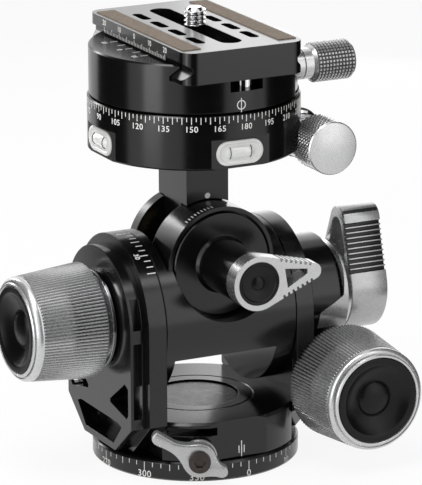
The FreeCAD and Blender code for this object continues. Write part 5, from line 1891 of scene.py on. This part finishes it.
@dataclass
class WingLever:
    """The tilt release's lever: a hub with a hollow upright grip, grooved across its front.

    Attributes:
        left: its left face.
        right: its right face.
        level: the height of the tilt axis, which is the middle of its hub.
        hub_r: the hub's radius.
        hub_end: the last angle of the hub's round, in degrees.
        tip: the middle of the grip's round tip, back and up from the axis.
        tip_r: the tip's radius.
        tip_start: the first angle of the tip's round.
        grooves: how many grooves cross its front face.
        groove_first: from the face's upper end to the first groove.
        groove_pitch: from groove to groove.
        groove_mouth: the width of a groove.
        groove_deep: its depth.
        floor_from: the depth from which a groove's floor is painted dark as shade.
        bore_r: the radius of the bore.
        bevel: the size of the bevels.
    """

    left: float = 45.3
    right: float = 57.4
    level: float = 45.0
    hub_r: float = 13.9
    hub_end: float = 436.0
    tip: tuple[float, float] = (-4.3, 20.6)
    tip_r: float = 4.5
    tip_start: float = 12.0
    grooves: int = 10
    groove_first: float = 1.6
    groove_pitch: float = 1.54
    groove_mouth: float = 1.16
    groove_deep: float = 0.85
    floor_from: float = 0.3
    bore_r: float = 3.05
    bevel: float = 0.3

    def front_face(self, start: Vector, end: Vector) -> Loop:
        """Gives the front face from the tip down, with its hollow grooves.

        Args:
            start: its upper end.
            end: its lower end.

        Returns:
            The points from start to end.
        """
        way = (end - start).normalized()
        inward = Vector((-way.y, way.x))
        line: Loop = [tuple(start)]
        for i in range(self.grooves):
            middle = start + way * (self.groove_first + i * self.groove_pitch)
            for share in (-0.5, -0.36, -0.14, 0.14, 0.36, 0.5):
                deep = self.groove_deep * (1 - (2 * share) ** 4) ** 0.5
                line.append(tuple(middle + way * (share * self.groove_mouth) + inward * deep))
        return line + [tuple(end)]

    def face_side(self) -> float:
        """Gives the bearing of the flat front face, in degrees.

        Returns:
            The bearing from the back, upwards.
        """
        tip = Vector(self.tip)
        along = math.degrees(math.atan2(tip.y, tip.x))
        return along + math.degrees(math.acos((self.hub_r - self.tip_r) / tip.length))

    def darken_grooves(self, mesh: Mesh) -> None:
        """Paints the floors of the grooves dark, as painted shade.

        Args:
            mesh: the lever's mesh, in metres, in the head's frame.
        """
        # painted shade for the groove floors
        mesh.materials.append(KNURL_SHADE.material())
        side = math.radians(self.face_side())
        outward = Vector((math.cos(side), math.sin(side)))
        for polygon in mesh.polygons:
            _, y, z = polygon.center / MM
            above = z - self.level
            under = self.hub_r - outward.dot(Vector((y, above)))
            # the round of the hub has no grooves, so its lower part is left out
            if self.floor_from < under < self.groove_deep + 0.02 and above > 3.0:
                polygon.material_index = 1

    def outline(self) -> list[Loop]:
        """Gives the outline, the opening and the bore, as front-to-back and up.

        Returns:
            The three closed lines.
        """
        tip = Vector(self.tip)
        side = self.face_side()
        spoke = Vector((math.cos(math.radians(side)), math.sin(math.radians(side))))
        face = self.front_face(tip + spoke * self.tip_r, spoke * self.hub_r)
        cap = arc(self.tip, self.tip_r, self.tip_start, side, 20)[:-1]
        hub = arc((0, 0), self.hub_r, side, self.hub_end, 56)[1:]
        opening = [(-3.9, 21.7), (-5.3, 21.2), (-6.4, 19.8), (-7.4, 17.2), (-8.4, 13.5)]
        opening += [(-8.6, 9.9), (1.4, 9.9), (0.6, 13.0), (-0.6, 17.0), (-1.6, 19.9), (-2.5, 21.2)]
        return [cap + face + hub, opening, round_loop((0, 0), self.bore_r, 24)]

    def build(self) -> Object:
        """Builds the lever and puts it in its node's place.

        Returns:
            The lever as one piece.
        """
        name, thick = "wing_lever_grooved", self.right - self.left
        turn = Matrix(((0, 0, 1), (1, 0, 0), (0, 1, 0))).to_4x4()
        place = Matrix.Translation(((self.left + self.right) / 2, 0, self.level)) @ turn
        mesh = cut_plate(name, self.outline(), thick, self.bevel, place)
        made = piece(name, mesh, LEVER)
        # painted shade on the groove floors
        self.darken_grooves(mesh)
        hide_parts("wing_lever")
        return report(made, "tilt_release")


@dataclass
class GearboxSkirt:
    """A light-grey shell round the front and underside of the tilt gearbox.

    Attributes:
        inner: its inner radius round the tilt axis.
        outer: its outer radius.
        right: its right edge.
        left: its left edge, as pairs of an angle above the front and a place.
        start: its first angle, below the front.
        end: its last angle.
        level: the height of the tilt axis.
        steps: faces along its bend.
    """

    inner: float = 16.3
    outer: float = 16.75
    right: float = 42.6
    left: tuple[tuple[float, float], ...] = (
        (-13.0, 33.2),
        (-10.0, 34.0),
        (5.0, 41.0),
        (30.0, 41.9),
    )
    start: float = -74.0
    end: float = 48.0
    level: float = 45.0
    steps: int = 48

    def edge(self, angle: float) -> float:
        """Gives the left edge at an angle.

        Args:
            angle: the angle above the front, in degrees.

        Returns:
            The place of the edge in millimetres.
        """
        if angle <= self.left[0][0]:
            return self.left[0][1]
        for (a, x), (b, y) in zip(self.left, self.left[1:]):
            if angle <= b:
                return x + (y - x) * (angle - a) / (b - a)
        return self.left[-1][1]

    def build(self) -> Object:
        """Builds the shell and fastens it to the yoke.

        Returns:
            The shell.
        """
        steps = self.steps
        points: list[Vector] = []
        for i in range(steps + 1):
            angle = self.start + (self.end - self.start) * i / steps
            spoke = Vector((0, -math.cos(math.radians(angle)), math.sin(math.radians(angle))))
            edge = self.edge(angle)
            for x, radius in (
                (edge, self.inner),
                (edge, self.outer),
                (self.right, self.outer),
                (self.right, self.inner),
            ):
                points.append(Vector((x, 0, self.level)) + spoke * radius)
        faces: list[tuple[int, ...]] = [(0, 1, 2, 3), tuple(4 * steps + k for k in (3, 2, 1, 0))]
        for i in range(steps):
            for k in range(4):
                a, b = 4 * i + k, 4 * i + (k + 1) % 4
                faces.append((a, a + 4, b + 4, b))
        made = piece("gearbox_skirt", mesh_from("gearbox_skirt", points, faces), LEVER)
        return report(made, "yoke")


# ---------------------------------------------------------------- spirit levels


@dataclass
class SpiritLevel:
    """A bubble level: a milky housing with a clear tube, two lines and a bubble.

    Attributes:
        node: the node that it stands for.
        face: the outer face of the level, with its middle as the centre.
        length: the length of the housing.
        height: its height, round at both ends.
        deep: its depth behind the face.
        tube_r: the tube's radius.
        tube_half: half the tube's length.
        tube_sink: how far the tube's middle lies under the face.
        line_at: where the two lines are, from the middle.
        line_sink: how far the lines' middle lies under the face.
        line_flat: their depth as a share of their height.
        bubble: half the bubble's length, height and depth.
        bubble_at: its middle, across and above.
        bubble_proud: how far its middle lies above the face.
    """

    node: str
    face: Face
    length: float = 15.0
    height: float = 7.4
    deep: float = 3.2
    tube_r: float = 2.1
    tube_half: float = 5.3
    tube_sink: float = 1.4
    line_at: float = 3.3
    line_sink: float = 1.35
    line_flat: float = 0.95
    bubble: tuple[float, float, float] = (2.3, 0.9, 0.5)
    bubble_at: tuple[float, float] = (-0.6, 0.2)
    bubble_proud: float = 0.25

    def place(self, across: float, above: float, proud: float) -> Vector:
        """Gives a point of the level in the head's frame."""
        return Vector(self.face.centre) + self.face.spot(across, above, proud)

    def housing(self) -> Object:
        """Builds the rounded housing with a crowned edge.

        Returns:
            The housing as an object.
        """
        radius, straight = self.height / 2, self.length / 2 - self.height / 2
        around = 24
        loops: list[list[int]] = []
        points: list[Vector] = []
        # from the back to the face, each with how far the edge has drawn in
        stations = (
            (0.0, -self.deep),
            (0.0, -0.45),
            (0.12, -0.15),
            (0.4, 0.0),
            (0.9, 0.0),
            (1.2, -0.25),
        )
        for inset, proud in stations:
            loop = []
            for end in (1, -1):
                for i in range(around + 1):
                    angle = -math.pi / 2 + math.pi * i / around + (0 if end == 1 else math.pi)
                    across = end * straight + (radius - inset) * math.cos(angle)
                    above = (radius - inset) * math.sin(angle)
                    loop.append(len(points))
                    points.append(self.place(across, above, proud))
            loops.append(loop)
        count = len(loops[0])
        faces: list[tuple[int, ...]] = [tuple(reversed(loops[0])), tuple(loops[-1])]
        for low, high in zip(loops, loops[1:]):
            for i in range(count):
                j = (i + 1) % count
                faces.append((low[i], low[j], high[j], high[i]))
        name = f"{self.node}_housing"
        return piece(name, mesh_from(name, points, faces), VIAL_WHITE)

    def rounded(
        self,
        name: str,
        middle: tuple[float, float],
        size: tuple[float, float, float],
        sink: float,
    ) -> Mesh:
        """Builds an egg-shaped body lying along the level.

        Args:
            name: the mesh's name.
            middle: its middle, across and above.
            size: half its length, height and depth.
            sink: how far its middle lies under the face.

        Returns:
            The mesh in metres.
        """
        rings, around = 18, 24
        points = [self.place(middle[0] - size[0], middle[1], -sink)]
        for k in range(1, rings):
            t = -1 + 2 * k / rings
            # a blunt end: the fourth-power curve keeps the middle straight like a tube
            wide = (1 - t**4) ** 0.5
            for i in range(around):
                angle = 2 * math.pi * i / around
                points.append(
                    self.place(
                        middle[0] + size[0] * t,
                        middle[1] + size[1] * wide * math.sin(angle),
                        -sink + size[2] * wide * math.cos(angle),
                    )
                )
        last = len(points)
        points.append(self.place(middle[0] + size[0], middle[1], -sink))
        faces: list[tuple[int, ...]] = []
        for i in range(around):
            j = (i + 1) % around
            faces.append((0, 1 + j, 1 + i))
            faces.append((last, last - around + i, last - around + j))
            for k in range(rings - 2):
                a = 1 + k * around
                faces.append((a + i, a + j, a + around + j, a + around + i))
        return mesh_from(name, points, faces)

    def band(self, across: float) -> Object:
        """Builds one dark line round the tube.

        Args:
            across: its place along the tube.

        Returns:
            The line as an object.
        """
        around = 16
        points: list[Vector] = []
        for side in (-0.1, 0.1):
            for radius in (self.tube_r - 0.1, self.tube_r + 0.06):
                for i in range(around + 1):
                    angle = math.pi * (i / around - 0.5)
                    proud = radius * self.line_flat * math.cos(angle) - self.line_sink
                    points.append(self.place(across + side, radius * math.sin(angle), proud))
        n = around + 1
        faces = []
        for i in range(around):
            for a, b in ((0, 1), (1, 3), (3, 2), (2, 0)):
                faces.append((a * n + i, a * n + i + 1, b * n + i + 1, b * n + i))
        faces += [(0, n, 3 * n, 2 * n), (around, around + 2 * n, around + 3 * n, around + n)]
        name = f"{self.node}_line"
        return piece(name, mesh_from(name, points, faces), VIAL_LINE)

    def build(self) -> Object:
        """Builds the level and puts it in its node's place.

        Returns:
            The level as one piece.
        """
        name, size = f"{self.node}_tube", (self.tube_half, self.tube_r, self.tube_r)
        tube = piece(name, self.rounded(name, (0, 0), size, self.tube_sink), VIAL_TUBE)
        name = f"{self.node}_bubble"
        bubble_mesh = self.rounded(name, self.bubble_at, self.bubble, -self.bubble_proud)
        bubble = piece(name, bubble_mesh, VIAL_WHITE)
        parts = [self.housing(), tube, self.band(-self.line_at), self.band(self.line_at), bubble]
        made = joined(f"{self.node}_level", parts)
        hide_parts(self.node)
        return report(made, "stem")


# ---------------------------------------------------------------- studio


@dataclass(frozen=True)
class SoftBox:
    """One soft box on a stand round the head.

    Attributes:
        name: its name.
        bearing: its direction from the head in degrees, from the front, positive to the right.
        away: its distance from the head's axis in millimetres.
        level: the height of its middle.
        wide: its width.
        high: its height.
        bright: its brightness, where 1 is a white surface in plain light.
        aim: the point that it faces.
    """

    name: str
    bearing: float
    away: float
    level: float
    wide: float
    high: float
    bright: float
    aim: tuple[float, float, float] = (0.0, 0.0, 64.0)

    def place(self) -> Vector:
        """Gives its middle in millimetres."""
        angle = math.radians(self.bearing)
        return Vector((math.sin(angle) * self.away, -math.cos(angle) * self.away, self.level))

    def power(self) -> float:
        """Gives the lamp's power in watts."""
        return self.bright * math.pi * self.wide * self.high * MM * MM


@dataclass(frozen=True)
class BlackFlag:
    """A curved black card on the floor that only darkens one side of the reflections.

    Attributes:
        name: its name.
        bearing: the direction of its middle in degrees, from the front, positive to the right.
        spread: the angle that it covers.
        away: its distance from the head's axis in millimetres.
        high: its height.
        steps: faces along its bend.
    """

    name: str
    bearing: float
    spread: float
    away: float = 150.0
    high: float = 420.0
    steps: int = 12

    def build(self) -> Object:
        """Builds the card.

        Returns:
            The card, seen by reflections only.
        """
        points: list[Vector] = []
        for i in range(self.steps + 1):
            angle = math.radians(self.bearing + self.spread * (i / self.steps - 0.5))
            x, y = math.sin(angle) * self.away, -math.cos(angle) * self.away
            points += [Vector((x, y, level)) for level in (0.5, self.high)]
        faces = [(2 * i, 2 * i + 1, 2 * i + 3, 2 * i + 2) for i in range(self.steps)]
        made = piece(self.name, mesh_from(self.name, points, faces), FLAG)
        made.visible_camera = made.visible_diffuse = False
        made.visible_shadow = made.visible_transmission = False
        return made


@dataclass
class Studio:
    """The camera, the pale floor, the soft lights and the black cards.

    Attributes:
        target: the point that the camera looks at, in millimetres.
        azimuth: the camera's bearing in degrees, from the front, positive to the right.
        elevation: its height above the horizon in degrees.
        roll: its turn about its own line of sight.
        distance: from the camera to its target.
        focal_px: the focal length in pixels.
        middle_px: the pixel that the line of sight passes through.
        frame_px: the width and height of the render in pixels.
        sensor: the height of the camera's sensor in millimetres.
        floor_half: half the floor's width.
        floor_colour: the floor's paint.
        floor_shade: the colour of its patches.
        floor_grain: the size of a patch.
        floor_glow: how much of the floor is plain white to the camera and to reflections.
        fill: the brightness of the world as a light.
        backdrop_shine: its brightness in reflections.
        boxes: the lamps.
        flags: the black cards.
    """

    target: tuple[float, float, float] = (0.0, 0.0, 63.91)
    azimuth: float = -26.45
    elevation: float = 15.7
    roll: float = -0.27
    distance: float = 1192.13
    focal_px: float = 4059.79
    middle_px: tuple[float, float] = (194.42, 241.93)
    frame_px: tuple[int, int] = (422, 485)
    sensor: float = 36.0
    floor_half: float = 3000.0
    floor_colour: str = "#f4f4f4"
    floor_shade: str = "#f0f0f0"
    floor_grain: float = 60.0
    floor_glow: float = 0.9
    fill: float = 0.4
    backdrop_shine: float = 1.0
    boxes: tuple[SoftBox, ...] = (
        SoftBox("soft_box_top", -60, 260, 760, 520, 420, 5.0),
        SoftBox("soft_box_left", -70, 420, 225, 150, 440, 3.0, (0, 0, 225)),
        SoftBox("front_high", 38, 330, 440, 90, 90, 3.0),
        SoftBox("soft_box_right", 28, 480, 225, 170, 440, 0.8, (0, 0, 225)),
        SoftBox("soft_box_rear_left", -150, 520, 250, 300, 480, 0.8, (0, 0, 250)),
        SoftBox("strip_rear_left", -163, 500, 290, 70, 260, 7.0, (0, 0, 290)),
        SoftBox("soft_box_rear_right", 140, 520, 250, 260, 480, 1.0, (0, 0, 250)),
    )
    flags: tuple[BlackFlag, ...] = (
        BlackFlag("flag_front", -16, 40),
        BlackFlag("flag_left", -120, 50),
        BlackFlag("flag_right", 81, 60),
    )

    def camera(self) -> Object:
        """Builds the camera.

        Returns:
            The camera, set as the scene's.
        """
        az, el, ro = (math.radians(a) for a in (self.azimuth, self.elevation, self.roll))
        back = Vector((math.sin(az) * math.cos(el), -math.cos(az) * math.cos(el), math.sin(el)))
        right = Vector((math.cos(az), math.sin(az), 0))
        up = back.cross(right)
        turned_right = right * math.cos(ro) + up * math.sin(ro)
        turned_up = up * math.cos(ro) - right * math.sin(ro)
        data = bpy.data.cameras.new("camera")
        data.sensor_fit = "VERTICAL"
        data.sensor_height = self.sensor
        wide, high = self.frame_px
        data.lens = self.focal_px * data.sensor_height / high
        data.shift_x = (wide / 2 - self.middle_px[0]) / high
        data.shift_y = (self.middle_px[1] - high / 2) / high
        data.clip_start, data.clip_end = 0.05, 50.0
        made = bpy.data.objects.new("camera", data)
        bpy.context.scene.collection.objects.link(made)
        turn = Matrix((turned_right, turned_up, back)).transposed().to_4x4()
        place = (Vector(self.target) + back * self.distance) * MM
        made.matrix_world = Matrix.Translation(place) @ turn
        bpy.context.scene.camera = made
        return made

    def world(self) -> None:
        """Builds a soft even world that shows white where nothing stands."""
        world = bpy.data.worlds.new("studio")
        bpy.context.scene.world = world
        world.use_nodes = True
        tree = world.node_tree
        tree.nodes.clear()
        rays = add_node(tree, "ShaderNodeLightPath").outputs
        direct = {0: rays["Is Camera Ray"], 1: rays["Is Transmission Ray"]}
        seen = add_node(tree, MATH, direct, operation="MAXIMUM").outputs[0]
        glossy = {0: rays["Is Glossy Ray"], 1: self.backdrop_shine}
        shine = add_node(tree, MATH, glossy, operation="MULTIPLY").outputs[0]
        both = add_node(tree, MATH, {0: seen, 1: shine}, operation="MAXIMUM").outputs[0]
        strength = add_node(tree, MATH, {0: both, 1: self.fill}, operation="MAXIMUM").outputs[0]
        white = {"Color": (1, 1, 1, 1), "Strength": strength}
        background = add_node(tree, "ShaderNodeBackground", white)
        add_node(tree, "ShaderNodeOutputWorld", {"Surface": background.outputs[0]})

    def floor(self) -> Object:
        """Builds the pale floor, which keeps the head's shadow.

        Returns:
            The floor.
        """
        half = self.floor_half
        signs = ((-1, -1), (1, -1), (1, 1), (-1, 1))
        corners = [Vector((x * half, y * half, -0.02)) for x, y in signs]
        floor = object_from("floor", mesh_from("floor", corners, [(0, 1, 2, 3)]))
        made = bpy.data.materials.new("matt_white_floor_paint")
        made.use_nodes = True
        tree = made.node_tree
        tree.nodes.clear()
        tones = {
            MIX_SHARE: uneven(tree, self.floor_grain),
            MIX_FIRST: linear(self.floor_colour),
            MIX_SECOND: linear(self.floor_shade),
        }
        colour = add_node(tree, "ShaderNodeMix", tones, data_type="RGBA").outputs[MIX_COLOUR]
        paint = add_node(tree, "ShaderNodeBsdfDiffuse", {"Color": colour})
        glow = add_node(tree, "ShaderNodeEmission", {"Color": (1, 1, 1, 1), "Strength": 1.0})
        rays = add_node(tree, "ShaderNodeLightPath").outputs
        glossy = {0: rays["Is Glossy Ray"], 1: self.backdrop_shine}
        shine = add_node(tree, MATH, glossy, operation="MULTIPLY").outputs[0]
        direct = {0: rays["Is Camera Ray"], 1: shine}
        seen = add_node(tree, MATH, direct, operation="MAXIMUM").outputs[0]
        share = add_node(tree, MATH, {0: seen, 1: self.floor_glow}, operation="MULTIPLY").outputs[0]
        surfaces = {0: share, 1: paint.outputs[0], 2: glow.outputs[0]}
        blend = add_node(tree, "ShaderNodeMixShader", surfaces)
        add_node(tree, "ShaderNodeOutputMaterial", {"Surface": blend.outputs[0]})
        floor.data.materials.append(made)
        return floor

    def light(self, box: SoftBox) -> None:
        """Builds one soft box.

        Args:
            box: its place, size and brightness.
        """
        data = bpy.data.lights.new(box.name, "AREA")
        data.shape = "RECTANGLE"
        data.size, data.size_y = box.wide * MM, box.high * MM
        data.energy = box.power()
        made = bpy.data.objects.new(box.name, data)
        made.visible_camera = False
        bpy.context.scene.collection.objects.link(made)
        place = box.place()
        turn = (place - Vector(box.aim)).to_track_quat("Z", "Y").to_matrix().to_4x4()
        made.matrix_world = Matrix.Translation(place * MM) @ turn

    def build(self) -> None:
        """Builds the camera, world, floor, lights and cards."""
        bpy.context.scene.view_settings.view_transform = "Standard"
        self.camera()
        self.world()
        self.floor()
        for box in self.boxes:
            self.light(box)
        for flag in self.flags:
            flag.build()
        LOG.info("studio is up")


# ---------------------------------------------------------------- the whole head


@dataclass
class CarriedSolids:
    """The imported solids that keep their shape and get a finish.

    Attributes:
        special: nodes whose finish isn't the one of their slot.
    """

    special: dict[str, Finish] = field(
        default_factory=lambda: {
            "camera_plate": PLATE,
            "lever_cap_screw": SOCKET,
            "pan_cap": DISC_FACE,
        }
    )

    def build(self, frame: dict[str, Any]) -> None:
        """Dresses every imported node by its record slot.
        """
        for part in frame["record"]["subparts"]:
            obj = frame["nodes"][part["node"]]
            slot = part.get("material_slot") or part.get("material")
            dress(obj, self.special.get(part["node"]) or NODE_FINISH[slot])
            LOG.info("%s keeps its solid, dressed as %s", part["node"], slot)


def build_head(frame: dict[str, Any]) -> None:
    """Builds every piece of the head in order.
    """
    CarriedSolids().build(frame)
    DriveKnob("roll_knob", "roll_drive", (-35.3, 0, 45), Axis.LEFT).build()
    DriveKnob("tilt_knob", "tilt_drive", (36.8, -22.3, 22.5), Axis.FRONT).build()
    RubberCap("roll_knob_cap", "roll_drive", (-53.3, 0, 45), Axis.LEFT).build()
    RubberCap("tilt_knob_cap", "tilt_drive", (36.8, -40.3, 22.5), Axis.FRONT).build()
    RubberCap(
        "triangular_cap",
        "roll_release",
        (0, -39.9, 61.8),
        Axis.FRONT,
        radius=6.4,
        front=1.7,
        dish_r=5.4,
        deep=0.9,
        ring_r=2.1,
        dome=0.5,
        line=0.12,
    ).build()
    LockLever().build()
    WingLever().build()
    GearboxSkirt().build()
    SmallKnob(
        "lock_knob",
        "pan_lock",
        (31.5, -9.6, 94.6),
        Axis.FRONT,
        [
            Ring(2.0, 1.2),
            Ring(2.0, 0.0),
            Ring(5.2, 0.0),
            Ring(5.2, 5.6),
            Ring(7.0, 5.6),
            Ring(7.45, 6.1),
            Ring(7.45, 16.5),
            Ring(7.85, 16.7),
            Ring(7.9, 17.1),
            Ring(7.6, 17.5),
            Ring(7.3, 17.6),
            Ring(0.0, 17.6),
        ],
        Knurl.DIAMOND,
        radius=7.4,
        crest=0.5,
        start=6.1,
        end=16.5,
        around=32,
        rows=14,
    ).build()
    SmallKnob(
        "clamp_knob",
        "clamp_drive",
        (31.6, -6.0, 115.4),
        Axis.RIGHT,
        [
            Ring(2.2, 1.2),
            Ring(2.2, 0.0),
            Ring(4.6, 0.0),
            Ring(4.6, 2.6),
            Ring(5.3, 3.4),
            Ring(5.5, 3.7),
            Ring(5.5, 15.4),
            Ring(5.1, 16.1),
            Ring(4.5, 16.4),
            Ring(0.0, 16.4),
        ],
        Knurl.SQUARE,
        radius=5.45,
        crest=0.44,
        start=3.6,
        end=15.5,
        around=32,
        rows=11,
    ).build()
    CameraScrew().build()
    SpiritLevel("front_vial", Face((-0.2, -30.2, 98.0), (0, 0, 1), (0, -1, 0))).build()
    SpiritLevel("left_vial", Face((-30.2, 0.8, 98.0), (0, 0, 1), (-1, 0, 0))).build()
    Marks().build()


def main() -> None:
    """Loads the frame, builds the studio and the head."""
    logging.basicConfig(level=logging.INFO, format="%(message)s")
    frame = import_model()
    Studio().build()
    build_head(frame)


if __name__ == "__main__":
    main()
